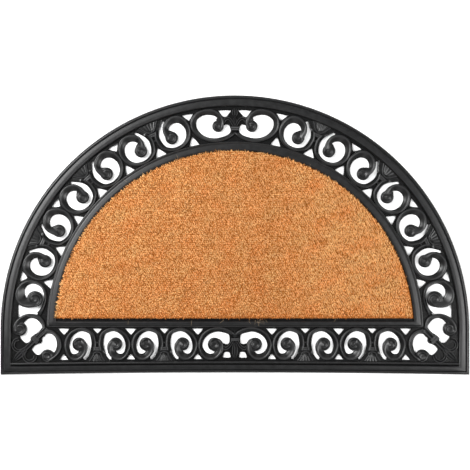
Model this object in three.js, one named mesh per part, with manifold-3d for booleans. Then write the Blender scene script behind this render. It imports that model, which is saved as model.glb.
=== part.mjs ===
// A half-round doormat: an openwork rubber moulding with a coir pad in its tray.
// Millimetres, +Z up. The mat lies flat with its round side towards +Y.

import * as THREE from "three";
import { mergeVertices } from "three/addons/utils/BufferGeometryUtils.js";
import Module from "manifold-3d";

const wasm = await Module();
wasm.setup();

// Plan of the whole mat
const OUTER_RADIUS = 375;
const SIDE_DROP = 72;
const ARC_CENTRE_Y = -151.5;
const CORNER_Y = ARC_CENTRE_Y - SIDE_DROP;
const BASE_BOW = 3.5;
const BASE_MID_Y = CORNER_Y + BASE_BOW;

// Heights above the floor. Every piece of the moulding is built down to UNDERCUT, and the joined whole
// is then cut off level at the floor.
const UNDERCUT = -1;
const TRAY_FLOOR = 3;
const WEB_TOP = 4;
const SLOPE_LOW = 5;
const BOSS_RIM = 6.2;
const LEAF_TOP = 7;
const BEAD_TOP = 8;
const COLLAR_TOP = 8.6;

// The openwork band, measured inwards from the foot of the rim's raised part
const ARC_BAND_RADIUS = 356;
const BASE_BAND_Y = -200;
const FRAME_RADIUS = 301.8;
const FRAME_BASE_Y = -147.2;
const FRAME_LEDGE_Y = -149.8;
const SUNK = 1;

// How finely round shapes are cut
const ARC_STATIONS = 38;
const BASE_STATIONS = 8;
const BOSS_SIDES = 9;

// Rim section from the outer edge inwards: distance in on the arc, distance in on the base, height
const RIM_SECTION = [
  { at: "edge foot", arc: 0, base: 0, z: UNDERCUT },
  { at: "edge top", arc: 0, base: 0, z: 4.4 },
  { at: "step crest", arc: 2.6, base: 2.2, z: 6 },
  { at: "step groove", arc: 5.4, base: 4.6, z: 5 },
  { at: "band shoulder", arc: 6.6, base: 5.6, z: 8 },
  { at: "band crest", arc: 10.5, base: 9, z: 9 },
  { at: "band inner shoulder", arc: 16.4, base: 11.6, z: 8 },
  { at: "band foot", arc: 17.6, base: 12.8, z: WEB_TOP },
  { at: "ledge edge", arc: 22.5, base: 21.6, z: WEB_TOP },
  { at: "ledge foot", arc: 22.5, base: 21.6, z: UNDERCUT },
];

// The raised line that runs along the base inside the rim band, in distances from the base edge
const BASE_RIDGE = { outer: 14.4, crestOuter: 15, crestInner: 18, inner: 18.8, halfLength: 360 };

// Inner frame section: radius of its arc, height of its base line in plan, height
const FRAME_SECTION = [
  { at: "ledge foot", radius: FRAME_RADIUS, base: FRAME_LEDGE_Y, z: UNDERCUT },
  { at: "ledge edge", radius: FRAME_RADIUS, base: FRAME_LEDGE_Y, z: WEB_TOP },
  { at: "ridge outer", radius: 301, base: -146.9, z: BEAD_TOP },
  { at: "ridge inner", radius: 299.2, base: -145.6, z: BEAD_TOP },
  { at: "groove", radius: 298.2, base: -144.8, z: 6.6 },
  { at: "band outer", radius: 297.2, base: -144, z: 7.6 },
  { at: "band inner", radius: 289.4, base: -137, z: 7.6 },
  { at: "tray wall", radius: 288.8, base: -136.2, z: UNDERCUT },
];
const TRAY_RADIUS = 292;
const TRAY_BASE_Y = -140;

// Coir pad levels: radius of its arc, height of its base line in plan, height
const COIR_LEVELS = [
  { at: "underside", radius: 287.2, base: -134.6, z: 3.3 },
  { at: "lower edge", radius: 288.3, base: -135.6, z: 5 },
  { at: "upper edge", radius: 287.8, base: -135, z: 12 },
  { at: "top", radius: 284.5, base: -131.8, z: 14 },
];

// Scroll strips. Each row is a place along the strip: its outer edge (the beaded one) and its inner
// edge, as distance u along the band from the tie and distance v in from the rim. A scroll ends in a
// round boss, and stations says how many sections its strip is cut into.
const BASE_SCROLL = {
  width: 53.5,
  stations: 16,
  rows: [
    { at: "foot", outer: [13.5, -1], inner: [21.5, -1] },
    { at: "flare", outer: [7, 8], inner: [13.9, 8] },
    { at: "collar", outer: [3.2, 16.8], inner: [10.9, 16.8] },
    { at: "waist", outer: [1.4, 26.4], inner: [9.3, 27.2] },
    { at: "shoulder", outer: [4.5, 40.8], inner: [11.8, 40.3] },
    { at: "rise", outer: [13.6, 49.3], inner: [18.1, 44.9] },
    { at: "top", outer: [26.4, 52.4], inner: [26.4, 46.6] },
    { at: "fall", outer: [40, 47.5], inner: [35.2, 42.9] },
    { at: "brow", outer: [49, 38.4], inner: [42.2, 35.2] },
    { at: "contact", outer: [53.4, 25.6], inner: [45.4, 24] },
    { at: "turn", outer: [49.6, 11.2], inner: [43.7, 14.4] },
    { at: "low", outer: [42.4, 2.4], inner: [40, 10.1] },
    { at: "base", outer: [34.4, 0.2], inner: [34.9, 9.3] },
    { at: "heel", outer: [26.4, 2.4], inner: [30.4, 10.9] },
    { at: "crook", outer: [19.5, 9.6], inner: [27.2, 14.7] },
    { at: "stem", outer: [16.6, 17.6], inner: [28, 16.6] },
    { at: "neck", outer: [17.1, 25.6], inner: [33, 18.2] },
    { at: "end", outer: [21.7, 31.8], inner: [36.4, 21] },
  ],
  boss: { centre: [29.3, 25.9], radius: 9.9 },
  tieNotch: { halfWidth: 10.9, apex: 43.2 },
  contactNotch: { halfWidth: 11.9, apex: 41.9 },
  rimNotch: { halfWidth: 9.1, apex: 10.1 },
  tip: [[21.4, -SUNK], [34, -SUNK], [28.4, 6.6], [22.8, 6]],
};

const ARC_SCROLL = {
  width: 60.8,
  stations: 16,
  rows: [
    { at: "foot", outer: [14.9, 0], inner: [22.4, 1] },
    { at: "flare", outer: [9, 8], inner: [17, 8.5] },
    { at: "collar", outer: [4.3, 16.8], inner: [11.4, 16.8] },
    { at: "waist", outer: [1.4, 27.2], inner: [8.5, 27.2] },
    { at: "shoulder", outer: [4.8, 42.4], inner: [11.7, 40.8] },
    { at: "rise", outer: [15.2, 51.5], inner: [19.2, 47.2] },
    { at: "top", outer: [30.4, 54.9], inner: [29.9, 49.6] },
    { at: "fall", outer: [45.6, 50.9], inner: [42.4, 46.7] },
    { at: "brow", outer: [56.5, 40.8], inner: [50.4, 38.9] },
    { at: "contact", outer: [60.8, 27.2], inner: [52.8, 27.7] },
    { at: "turn", outer: [56.8, 12], inner: [49.6, 18.1] },
    { at: "low", outer: [48.8, 2.9], inner: [44, 12.5] },
    { at: "base", outer: [40, 0.3], inner: [36.8, 10.4] },
    { at: "heel", outer: [30, 2.4], inner: [30, 12.5] },
    { at: "crook", outer: [21.6, 8.8], inner: [25.1, 17.3] },
    { at: "stem", outer: [17.9, 18.4], inner: [25.8, 20.2] },
    { at: "neck", outer: [17.9, 26], inner: [30.5, 23.8] },
    { at: "end", outer: [18.8, 33.4], inner: [34, 27.6] },
  ],
  boss: { centre: [27.3, 33.1], radius: 8.8 },
  tieNotch: { halfWidth: 10.5, apex: 41.5 },
  contactNotch: { halfWidth: 9.2, apex: 41.3 },
  rimNotch: { halfWidth: 12.3, apex: 13.6 },
  tip: [[22.6, -SUNK], [38, -SUNK], [30, 7.5], [24, 7]],
};

// The larger scrolls beside the two centre fleurs start at the fleur's head; u counts from its axis.
const BASE_CENTRE_SCROLL = {
  stations: 17,
  rows: [
    { at: "head", outer: [-1.6, 40.8], inner: [3.2, 35.2] },
    { at: "rise", outer: [5.6, 46.9], inner: [10.1, 41] },
    { at: "crown", outer: [16, 51.7], inner: [17.6, 43.8] },
    { at: "top", outer: [28, 53.1], inner: [28, 45.6] },
    { at: "fall", outer: [40.8, 50.4], inner: [38.4, 42.9] },
    { at: "brow", outer: [52, 42.4], inner: [46.9, 36.5] },
    { at: "cheek", outer: [58, 31], inner: [51.7, 28] },
    { at: "contact", outer: [59.2, 23.2], inner: [52.2, 21.6] },
    { at: "turn", outer: [56, 11.2], inner: [48.8, 14.4] },
    { at: "low", outer: [48.8, 3.2], inner: [44.8, 10.9] },
    { at: "base", outer: [40, 0.3], inner: [38.9, 9] },
    { at: "heel", outer: [30.4, 2.1], inner: [33.6, 10.1] },
    { at: "crook", outer: [22.4, 9.6], inner: [30.4, 14.1] },
    { at: "stem", outer: [18.7, 18.4], inner: [30.4, 17.6] },
    { at: "neck", outer: [19.7, 26.9], inner: [30.4, 21.6] },
    { at: "end", outer: [24, 32.5], inner: [31.2, 24.8] },
  ],
  boss: { centre: [32.5, 25.1], radius: 10.6 },
};

const ARC_CENTRE_SCROLL = {
  stations: 17,
  rows: [
    { at: "head", outer: [-1.6, 41.6], inner: [3.2, 36] },
    { at: "rise", outer: [6.4, 48], inner: [10.9, 42.9] },
    { at: "crown", outer: [17.6, 52.8], inner: [19.2, 46.4] },
    { at: "top", outer: [32, 54.7], inner: [32, 48.3] },
    { at: "fall", outer: [46.4, 52], inner: [44, 46.2] },
    { at: "brow", outer: [60, 44], inner: [54.1, 40.3] },
    { at: "cheek", outer: [68.6, 33], inner: [60.8, 30.9] },
    { at: "contact", outer: [71, 22.6], inner: [62, 22.4] },
    { at: "turn", outer: [67.4, 11.2], inner: [59.4, 14.7] },
    { at: "low", outer: [57.6, 3.2], inner: [52, 9.9] },
    { at: "base", outer: [45.6, 0.3], inner: [43.2, 8.5] },
    { at: "heel", outer: [33.6, 1.9], inner: [33.6, 10.6] },
    { at: "crook", outer: [23.7, 9.3], inner: [27.2, 14.4] },
    { at: "stem", outer: [18.1, 18.4], inner: [28, 18.4] },
    { at: "neck", outer: [17.3, 26.4], inner: [27.2, 22.4] },
    { at: "end", outer: [20.8, 33.3], inner: [27.2, 27.2] },
  ],
  boss: { centre: [27.2, 29.4], radius: 8.8 },
};

// Corner pieces count a in from the side of the mat and b up from its bottom corner.
const SIDE_SCROLL = {
  stations: 12,
  rows: [
    { at: "start", outer: [64, 94], inner: [58.4, 99.5] },
    { at: "rise", outer: [70, 106.7], inner: [64.8, 107.5] },
    { at: "side", outer: [74, 121], inner: [70, 122.7] },
    { at: "cheek", outer: [72.5, 135.5], inner: [67.2, 136.3] },
    { at: "brow", outer: [64.8, 146.7], inner: [60.8, 143] },
    { at: "top", outer: [52, 151.5], inner: [51.7, 146.2] },
    { at: "fall", outer: [38.4, 149.4], inner: [43.2, 143.5] },
    { at: "shoulder", outer: [28.3, 141.1], inner: [38.4, 137.9] },
    { at: "waist", outer: [24, 129.1], inner: [37.1, 131.5] },
    { at: "turn", outer: [26.7, 117.1], inner: [38.1, 125.9] },
    { at: "crook", outer: [34.4, 110.2], inner: [41.6, 121.6] },
    { at: "neck", outer: [44.8, 107.8], inner: [47.2, 121.1] },
    { at: "end", outer: [54, 108.6], inner: [52, 121.9] },
  ],
  boss: { centre: [55.2, 121.1], radius: 12.6 },
};

const UPPER_LOBE = {
  stations: 9,
  rows: [
    { at: "start", outer: [72, 70], inner: [66.2, 74.7] },
    { at: "side", outer: [71.7, 79.5], inner: [65.9, 78.7] },
    { at: "brow", outer: [68.8, 88.3], inner: [62.1, 84.3] },
    { at: "rise", outer: [61.6, 95], inner: [56.8, 89.1] },
    { at: "top", outer: [49.6, 97.4], inner: [49.6, 91.5] },
    { at: "fall", outer: [38.4, 95.5], inner: [42.4, 89.4] },
    { at: "shoulder", outer: [28, 89.1], inner: [37.6, 84.8] },
    { at: "neck", outer: [21.6, 79.5], inner: [33, 79.5] },
    { at: "end", outer: [20.6, 71.5], inner: [31, 73.9] },
  ],
  boss: { centre: [31, 73.2], radius: 10.9 },
};

const LOWER_LOBE = {
  stations: 9,
  rows: [
    { at: "start", outer: [67.2, 70.7], inner: [69.6, 60.3] },
    { at: "rise", outer: [76, 73], inner: [74.4, 65.3] },
    { at: "top", outer: [86.4, 69.6], inner: [82.4, 64.6] },
    { at: "brow", outer: [94.5, 60.5], inner: [88.5, 58.2] },
    { at: "side", outer: [97.5, 48.3], inner: [91.2, 49.1] },
    { at: "turn", outer: [94.8, 36.6], inner: [89.6, 40.3] },
    { at: "low", outer: [88, 28.5], inner: [85.3, 34.7] },
    { at: "end", outer: [80, 22.5], inner: [79, 33.1] },
  ],
  boss: { centre: [75.2, 29.9], radius: 10.3 },
};

// Thin floors of the openwork around the fleurs
const CORNER_WEB = [
  [18, 16], [82, 16], [75, 31], [66, 36.3], [63.2, 32.3], [59.2, 31.2], [54.4, 34.7], [49.9, 40.3],
  [54.4, 45.9], [60, 49.1], [64.8, 49.9], [67.2, 53.9], [66.4, 57.9], [73, 66], [80, 70], [78, 80],
  [67, 76], [60.8, 68.3], [52.8, 63.5], [48.3, 59.5], [48, 54.7], [44, 51], [39.2, 51], [33.6, 56.3],
  [31.2, 60.3], [33, 66], [31, 74], [18, 76],
];
const SIDE_LEDGE = [[16, 18], [22, 18], [28.5, 80], [28.5, 137], [19, 137]];
const SIDE_WEB = [
  [76, 136], [82, 136], [80, 100], [78, 68], [66, 72], [69, 82], [64, 91], [58, 96], [63, 102],
  [68, 110], [72, 122], [71, 132],
];
const LOBE_WEB = [
  [90, 60], [100, 66], [102, 50], [98, 34], [93, 23], [93, 16], [82, 16], [85, 30], [92, 38], [94, 49],
];

const BASE_FLEUR = {
  web: [[40, -SUNK], [38.5, 4], [28, 7], [24, 16], [19.5, 27], [14.4, 25.3], [11.2, 25.6], [9, 28],
    [8.5, 33.6], [9.6, 41], [16, 47.5], [28, 49.5], [34, 48.5], [34, 55]],
  hole: [[6.7, 4.1], [7.3, 8], [8.8, 12.6], [15.8, 12.9], [17.6, 9.5], [19.2, 3.8]],
};
const ARC_FLEUR = {
  web: [[36, -SUNK], [24, 14], [20, 30.4], [16, 28], [12, 27.2], [8.5, 29.6], [6.7, 37.6], [9, 42.5],
    [18, 49.5], [32, 51.5], [45, 49], [57, 42.2], [61.5, 38], [64.5, 41], [60, 48],
    [57, 56]],
  hole: [[5, 4.8], [9.6, 10.4], [12.8, 14.4], [17.6, 15.5], [20.8, 11.2], [24.8, 4.4]],
};

// Shape of a boss top, a bar's peak and a leaf's outline
const BOSS_TOP_SHARE = 0.55;
const PEAK_DROP = 1.5;
const LEAF_SPREAD = [0.12, 0.75, 1, 0.7, 0.12];

// Raised ornament of a fleur, along its axis (v) and to one side (u)
const FLEUR_LEAF = { foot: 1.5, tip: 28, halfWidth: 4.2 };
const FLEUR_COLLAR = { low: 29.5, high: 33.5, halfWidth: 6.4 };
const FLEUR_BUD = { foot: 35, tip: 48, halfWidth: 3.4 };
const FLEUR_ARM = [[1, 27.5], [7, 24.5], [13, 20.5], [18, 16.5]];
const ARM_HALF_WIDTH = 2.4;

// Raised ornament of a tie between two scrolls
const TIE_COLLAR = { low: 16, high: 19, halfWidth: 7 };
const TIE_BELL = { neck: 4.4, neckV: 15, waist: 5.4, waistV: 9, foot: 11, top: 6.4 };

// Diagonal ornament of a corner, along the corner's diagonal from the rim's inner corner
const CORNER_ORIGIN = [20, 21];
const STEM = { start: 30, end: 76, startHalf: 2.2, endHalf: 3.2 };
const CORNER_COLLAR = { low: 47, high: 54, halfWidth: 7 };
const CORNER_LEAF = { foot: 1, tip: 33, halfWidth: 5.4 };
const CORNER_CURL = [[28, 2], [21, 4], [17, 10.2], [18.5, 17.8], [26, 21.4], [32, 19]];

// Where the repeated scrolls stand
const BASE_TIES = [112.8, 220];
const BASE_CONTACTS = [59.3, 166.4, 273.5];
const ARC_TIES_DEG = [23, 44.2, 65.4];
const ARC_CONTACTS_DEG = [12.4, 33.6, 54.8, 76];
const ARC_CELL_RADIUS = 328.8;
const SIDES = [-1, 1];

// The base of the mat bows inwards at mid-length, less and less towards the inner frame.
function bowed(x, y) {
  const share = Math.max(0, (FRAME_BASE_Y - y) / (FRAME_BASE_Y - BASE_MID_Y));
  return [x, y - BASE_BOW * share * (x / OUTER_RADIUS) ** 2];
}

// Maps from band coordinates to the plan
const baseCell = (axis, side) => ([u, v]) => bowed(axis + side * u, BASE_BAND_Y + v);

const arcCell = (axisDegrees, side) => ([u, v]) => {
  const angle = THREE.MathUtils.degToRad(axisDegrees) + (side * u) / ARC_CELL_RADIUS;
  const radius = ARC_BAND_RADIUS - v;
  return [radius * Math.sin(angle), ARC_CENTRE_Y + radius * Math.cos(angle)];
};

const cornerCell = (side) => ([a, b]) => [side * (OUTER_RADIUS - a), CORNER_Y + b];

// A closed solid from points and triangles, faced outwards whichever way the triangles were listed
function solidOf(points, faces) {
  let volume = 0;
  for (const [a, b, c] of faces) {
    volume += points[a].dot(points[b].clone().cross(points[c]));
  }
  const outward = volume > 0 ? faces : faces.map(([a, b, c]) => [a, c, b]);
  const vertProperties = new Float32Array(points.flatMap((p) => [p.x, p.y, p.z]));
  const triVerts = new Uint32Array(outward.flat());
  return new wasm.Manifold(new wasm.Mesh({ numProp: 3, vertProperties, triVerts }));
}

// Joins a row of equal sections, either into a closed ring or with a flat cap at each end
function loft(sections, ring) {
  const size = sections[0].length;
  const count = sections.length;
  const faces = [];
  for (let i = 0; i < (ring ? count : count - 1); i += 1) {
    for (let j = 0; j < size; j += 1) {
      const here = i * size;
      const next = ((i + 1) % count) * size;
      const k = (j + 1) % size;
      faces.push([here + j, here + k, next + k], [here + j, next + k, next + j]);
    }
  }
  if (!ring) {
    const last = (count - 1) * size;
    for (let j = 1; j < size - 1; j += 1) {
      faces.push([0, j + 1, j], [last, last + j, last + j + 1]);
    }
  }
  return solidOf(sections.flat(), faces);
}

// A closed solid from a three.js geometry, carried into the plan by a map
function closedFrom(geometry, place) {
  geometry.deleteAttribute("normal");
  geometry.deleteAttribute("uv");
  const merged = mergeVertices(geometry, 0.001);
  const position = merged.getAttribute("position");
  const points = [];
  for (let i = 0; i < position.count; i += 1) {
    const [x, y] = place([position.getX(i), position.getY(i)]);
    points.push(new THREE.Vector3(x, y, position.getZ(i)));
  }
  const faces = [];
  for (let i = 0; i < merged.index.count; i += 3) {
    faces.push([merged.index.getX(i), merged.index.getX(i + 1), merged.index.getX(i + 2)]);
  }
  return solidOf(points, faces);
}

// A flat plate up to a height, from an outline and its holes in band coordinates
function plate(outline, holes, top, place) {
  const shape = new THREE.Shape(outline.map(([u, v]) => new THREE.Vector2(u, v)));
  shape.holes = holes.map((hole) => new THREE.Path(hole.map(([u, v]) => new THREE.Vector2(u, v))));
  const depth = top - UNDERCUT;
  const extruded = new THREE.ExtrudeGeometry(shape, { depth, bevelEnabled: false });
  extruded.translate(0, 0, UNDERCUT);
  return closedFrom(extruded, place);
}

// A smooth curve through plan points, read at even steps of its own parameter
function smooth(points, stations) {
  const curve = new THREE.SplineCurve(points.map(([x, y]) => new THREE.Vector2(x, y)));
  return curve.getPoints(stations - 1).map((p) => [p.x, p.y]);
}

// A scroll strip: high along its beaded outer edge, sloping down to its inner edge
function strip({ rows, stations }, place) {
  const outer = smooth(rows.map((row) => row.outer), stations).map(place);
  const inner = smooth(rows.map((row) => row.inner), stations).map(place);
  const sections = outer.map(([x, y], i) => [
    new THREE.Vector3(x, y, UNDERCUT),
    new THREE.Vector3(x, y, BEAD_TOP),
    new THREE.Vector3(inner[i][0], inner[i][1], SLOPE_LOW),
    new THREE.Vector3(inner[i][0], inner[i][1], UNDERCUT),
  ]);
  return loft(sections, false);
}

// A round boss that ends a scroll: straight wall, then a low cone
function boss({ centre, radius }, place) {
  const [x, y] = place(centre);
  const profile = [[radius, UNDERCUT], [radius, BOSS_RIM], [radius * BOSS_TOP_SHARE, BEAD_TOP]];
  const sections = profile.map(([r, z]) => Array.from({ length: BOSS_SIDES }, (_, i) => {
    const angle = (2 * Math.PI * i) / BOSS_SIDES;
    return new THREE.Vector3(x + r * Math.cos(angle), y + r * Math.sin(angle), z);
  }));
  return loft(sections, false);
}

// A tapering bar along a path, with a peaked top
function bar(path, halfWidths, top, place) {
  const flat = path.map(place).map(([x, y]) => new THREE.Vector2(x, y));
  const sections = flat.map((p, i) => {
    const along = flat[Math.min(i + 1, flat.length - 1)].clone().sub(flat[Math.max(i - 1, 0)]);
    const across = new THREE.Vector2(-along.y, along.x).setLength(halfWidths[i]);
    return [
      new THREE.Vector3(p.x + across.x, p.y + across.y, UNDERCUT),
      new THREE.Vector3(p.x + across.x, p.y + across.y, top - PEAK_DROP),
      new THREE.Vector3(p.x, p.y, top),
      new THREE.Vector3(p.x - across.x, p.y - across.y, top - PEAK_DROP),
      new THREE.Vector3(p.x - across.x, p.y - across.y, UNDERCUT),
    ];
  });
  return loft(sections, false);
}

// A pointed leaf along the v axis
function leaf({ foot, tip, halfWidth }, top, place) {
  const step = (tip - foot) / (LEAF_SPREAD.length - 1);
  const path = LEAF_SPREAD.map((_, i) => [0, foot + step * i]);
  return bar(path, LEAF_SPREAD.map((share) => share * halfWidth), top, place);
}

// A cross-bar between two distances along the v axis
function crossBar({ low, high, halfWidth }, top, place) {
  const outline = [[-halfWidth, low], [halfWidth, low], [halfWidth, high], [-halfWidth, high]];
  return plate(outline, [], top, place);
}

// Points on the middle line of a strip, named by their rows
function middles(scroll, names) {
  return names.map((name) => {
    const { outer, inner } = scroll.rows.find((row) => row.at === name);
    return [(outer[0] + inner[0]) / 2, (outer[1] + inner[1]) / 2];
  });
}

const mirrored = (points, axis) => points.map(([u, v]) => [2 * axis - u, v]).reverse();

// The thin web under a tie, with its open notch at the frame. Notch widths are taken under the frame
// and the rim, a little past the web's own edge.
function tieWeb(scroll, bandWidth) {
  const past = bandWidth + SUNK;
  const half = middles(scroll, ["foot", "flare", "collar", "waist", "shoulder", "rise", "top"]);
  const [footU] = half[0];
  const [topU] = half[half.length - 1];
  const { halfWidth, apex } = scroll.tieNotch;
  return [
    [footU, -SUNK], ...half, [topU, past], [halfWidth, past], [0, apex],
    [-halfWidth, past], [-topU, past], ...mirrored(half, 0), [-footU, -SUNK],
  ];
}

// The thin web where two scrolls touch, with open notches at the frame and at the rim
function contactWeb(scroll, bandWidth) {
  const past = bandWidth + SUNK;
  const axis = scroll.width;
  const half = middles(scroll, ["top", "fall", "brow", "contact", "turn", "low", "base"]);
  const [topU] = half[0];
  const [baseU] = half[half.length - 1];
  const upper = scroll.contactNotch;
  const lower = scroll.rimNotch;
  return [
    [topU, past], ...half, [baseU, -SUNK], [axis - lower.halfWidth, -SUNK],
    [axis, lower.apex], [axis + lower.halfWidth, -SUNK], [2 * axis - baseU, -SUNK],
    ...mirrored(half, axis), [2 * axis - topU, past], [axis + upper.halfWidth, past],
    [axis, upper.apex], [axis - upper.halfWidth, past],
  ];
}

// One tie with its web, collar and bell-shaped foot
function tie(scroll, bandWidth, place) {
  const { neck, neckV, waist, waistV, foot, top } = TIE_BELL;
  const bell = [
    [-foot, -SUNK], [foot, -SUNK], [waist, waistV], [neck, neckV], [-neck, neckV], [-waist, waistV],
  ];
  return [
    plate(tieWeb(scroll, bandWidth), [], WEB_TOP, place),
    plate(bell, [], top, place),
    crossBar(TIE_COLLAR, COLLAR_TOP, place),
  ];
}

// One scroll: its strip, its boss and, where it has one, the web behind its heel
function scrollPieces(scroll, place) {
  const pieces = [strip(scroll, place), boss(scroll.boss, place)];
  if (scroll.tip) {
    pieces.push(plate(scroll.tip, [], WEB_TOP, place));
  }
  return pieces;
}

// A D-shaped loop: an arc about the mat's centre closed by a straight base, counter-clockwise
function dLoop(radius, baseY, ringStations, baseStations) {
  const rise = baseY - ARC_CENTRE_Y;
  const start = rise > 0 ? Math.asin(rise / radius) : 0;
  const points = [];
  for (let i = 0; i <= ringStations; i += 1) {
    const angle = start + ((Math.PI - 2 * start) * i) / ringStations;
    points.push([radius * Math.cos(angle), ARC_CENTRE_Y + radius * Math.sin(angle)]);
  }
  const halfBase = radius * Math.cos(start);
  const first = rise > 0 ? 1 : 0;
  const last = rise > 0 ? baseStations - 1 : baseStations;
  for (let i = first; i <= last; i += 1) {
    points.push(bowed(-halfBase + (2 * halfBase * i) / baseStations, baseY));
  }
  return points;
}

// Sections across a D-shaped ring from its loops, one loop for each corner of the section
function dRing(loops) {
  const sections = loops[0].points.map((_, i) => loops.map(({ points, z }) => {
    const [x, y] = points[i];
    return new THREE.Vector3(x, y, z);
  }));
  return loft(sections, true);
}

function outerRim() {
  const loops = RIM_SECTION.map(({ arc, base, z }) => ({
    points: dLoop(OUTER_RADIUS - arc, BASE_MID_Y + base, ARC_STATIONS, BASE_STATIONS),
    z,
  }));
  return dRing(loops);
}

function baseRidge() {
  const { outer, crestOuter, crestInner, inner, halfLength } = BASE_RIDGE;
  const section = [[outer, UNDERCUT], [crestOuter, BEAD_TOP], [crestInner, BEAD_TOP], [inner, UNDERCUT]];
  const sections = [];
  for (let i = 0; i <= BASE_STATIONS; i += 1) {
    const x = -halfLength + (2 * halfLength * i) / BASE_STATIONS;
    sections.push(section.map(([inwards, z]) => {
      const [px, py] = bowed(x, BASE_MID_Y + inwards);
      return new THREE.Vector3(px, py, z);
    }));
  }
  return loft(sections, false);
}

function innerFrame() {
  const loops = FRAME_SECTION.map(({ radius, base, z }) => ({
    points: dLoop(radius, base, ARC_STATIONS, BASE_STATIONS),
    z,
  }));
  return dRing(loops);
}

function trayFloor() {
  const outline = dLoop(TRAY_RADIUS, TRAY_BASE_Y, ARC_STATIONS, BASE_STATIONS);
  return plate(outline, [], TRAY_FLOOR, (point) => point);
}

function baseRow() {
  const width = FRAME_BASE_Y - BASE_BAND_Y;
  const pieces = [];
  for (const side of SIDES) {
    for (const axis of BASE_TIES) {
      const place = baseCell(side * axis, 1);
      pieces.push(...tie(BASE_SCROLL, width, place));
      for (const way of SIDES) {
        pieces.push(...scrollPieces(BASE_SCROLL, baseCell(side * axis, way)));
      }
    }
    for (const axis of BASE_CONTACTS) {
      const outline = contactWeb(BASE_SCROLL, width);
      pieces.push(plate(outline, [], WEB_TOP, baseCell(side * axis - BASE_SCROLL.width, 1)));
    }
  }
  return pieces;
}

function arcRow() {
  const width = ARC_BAND_RADIUS - FRAME_RADIUS;
  const halfCell = THREE.MathUtils.radToDeg(ARC_SCROLL.width / ARC_CELL_RADIUS);
  const pieces = [];
  for (const side of SIDES) {
    for (const axis of ARC_TIES_DEG) {
      pieces.push(...tie(ARC_SCROLL, width, arcCell(side * axis, 1)));
      for (const way of SIDES) {
        pieces.push(...scrollPieces(ARC_SCROLL, arcCell(side * axis, way)));
      }
    }
    for (const axis of ARC_CONTACTS_DEG) {
      const outline = contactWeb(ARC_SCROLL, width);
      pieces.push(plate(outline, [], WEB_TOP, arcCell(side * axis - halfCell, 1)));
    }
  }
  return pieces;
}

// A centre fleur with the large scroll on each side of it; cell gives the map for one side
function centrePiece(fleur, scroll, cell) {
  const outline = [...fleur.web, ...mirrored(fleur.web, 0)];
  const holes = [fleur.hole, mirrored(fleur.hole, 0)];
  const middle = cell(1);
  const pieces = [
    plate(outline, holes, WEB_TOP, middle),
    leaf(FLEUR_LEAF, BEAD_TOP, middle),
    crossBar(FLEUR_COLLAR, COLLAR_TOP, middle),
    leaf(FLEUR_BUD, LEAF_TOP, middle),
  ];
  for (const side of SIDES) {
    pieces.push(...scrollPieces(scroll, cell(side)));
    pieces.push(bar(FLEUR_ARM, FLEUR_ARM.map(() => ARM_HALF_WIDTH), LEAF_TOP, cell(side)));
  }
  return pieces;
}

// A corner: the side scroll, two lobes, and the fleur on the diagonal between them
function corner(side) {
  const place = cornerCell(side);
  const diagonal = ([u, v]) => {
    const along = v * Math.SQRT1_2;
    const across = u * Math.SQRT1_2;
    return place([CORNER_ORIGIN[0] + along + across, CORNER_ORIGIN[1] + along - across]);
  };
  const stemPath = [[0, STEM.start], [0, STEM.end]];
  const pieces = [
    plate(CORNER_WEB, [], WEB_TOP, place),
    plate(SIDE_LEDGE, [], WEB_TOP, place),
    plate(SIDE_WEB, [], WEB_TOP, place),
    plate(LOBE_WEB, [], WEB_TOP, place),
    bar(stemPath, [STEM.startHalf, STEM.endHalf], BEAD_TOP, diagonal),
    crossBar(CORNER_COLLAR, COLLAR_TOP, diagonal),
    leaf(CORNER_LEAF, BEAD_TOP, diagonal),
  ];
  for (const way of SIDES) {
    const curl = CORNER_CURL.map(([v, u]) => [way * u, v]);
    pieces.push(bar(curl, curl.map(() => ARM_HALF_WIDTH), LEAF_TOP, diagonal));
  }
  for (const scroll of [SIDE_SCROLL, UPPER_LOBE, LOWER_LOBE]) {
    pieces.push(...scrollPieces(scroll, place));
  }
  return pieces;
}

// The block under the floor that levels the underside
function belowFloor() {
  const side = 4 * OUTER_RADIUS;
  const depth = -4 * UNDERCUT;
  const box = new THREE.BoxGeometry(side, side, depth);
  box.translate(0, 0, -depth / 2);
  return closedFrom(box, (point) => point);
}

function rubberMoulding() {
  const pieces = [
    outerRim(), baseRidge(), innerFrame(), trayFloor(), ...baseRow(), ...arcRow(),
    ...centrePiece(BASE_FLEUR, BASE_CENTRE_SCROLL, (side) => baseCell(0, side)),
    ...centrePiece(ARC_FLEUR, ARC_CENTRE_SCROLL, (side) => arcCell(0, side)),
    ...corner(-1), ...corner(1),
  ];
  const joined = pieces.reduce((whole, piece) => whole.add(piece));
  return joined.subtract(belowFloor());
}

function coirPad() {
  const sections = COIR_LEVELS.map(({ radius, base, z }) => {
    const loop = dLoop(radius, base, ARC_STATIONS, BASE_STATIONS);
    return loop.map(([x, y]) => new THREE.Vector3(x, y, z));
  });
  return loft(sections, false);
}

// A named mesh with its own finish from a closed solid
function meshOf(name, solid, finish) {
  const { vertProperties, triVerts } = solid.getMesh();
  const geometry = new THREE.BufferGeometry();
  geometry.setAttribute("position", new THREE.BufferAttribute(vertProperties, 3));
  geometry.setIndex(new THREE.BufferAttribute(triVerts, 1));
  const mesh = new THREE.Mesh(geometry, new THREE.MeshStandardMaterial(finish));
  mesh.name = name;
  return mesh;
}

const doormat = new THREE.Group();
doormat.add(
  meshOf("rubber_mat", rubberMoulding(), { color: 0x2a2b2c, roughness: 0.6, metalness: 0 }),
  meshOf("coir_inlay", coirPad(), { color: 0xc98648, roughness: 1, metalness: 0 }),
);

export default doormat;
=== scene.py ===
"""Half-round doormat: a rubber moulding with an openwork scroll border and a coir pile inlay.

Every size is in millimetres until a mesh is made, and the plan is the mat's own: +X along the straight
edge, +Y towards the round side, +Z up off the floor.
"""

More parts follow.
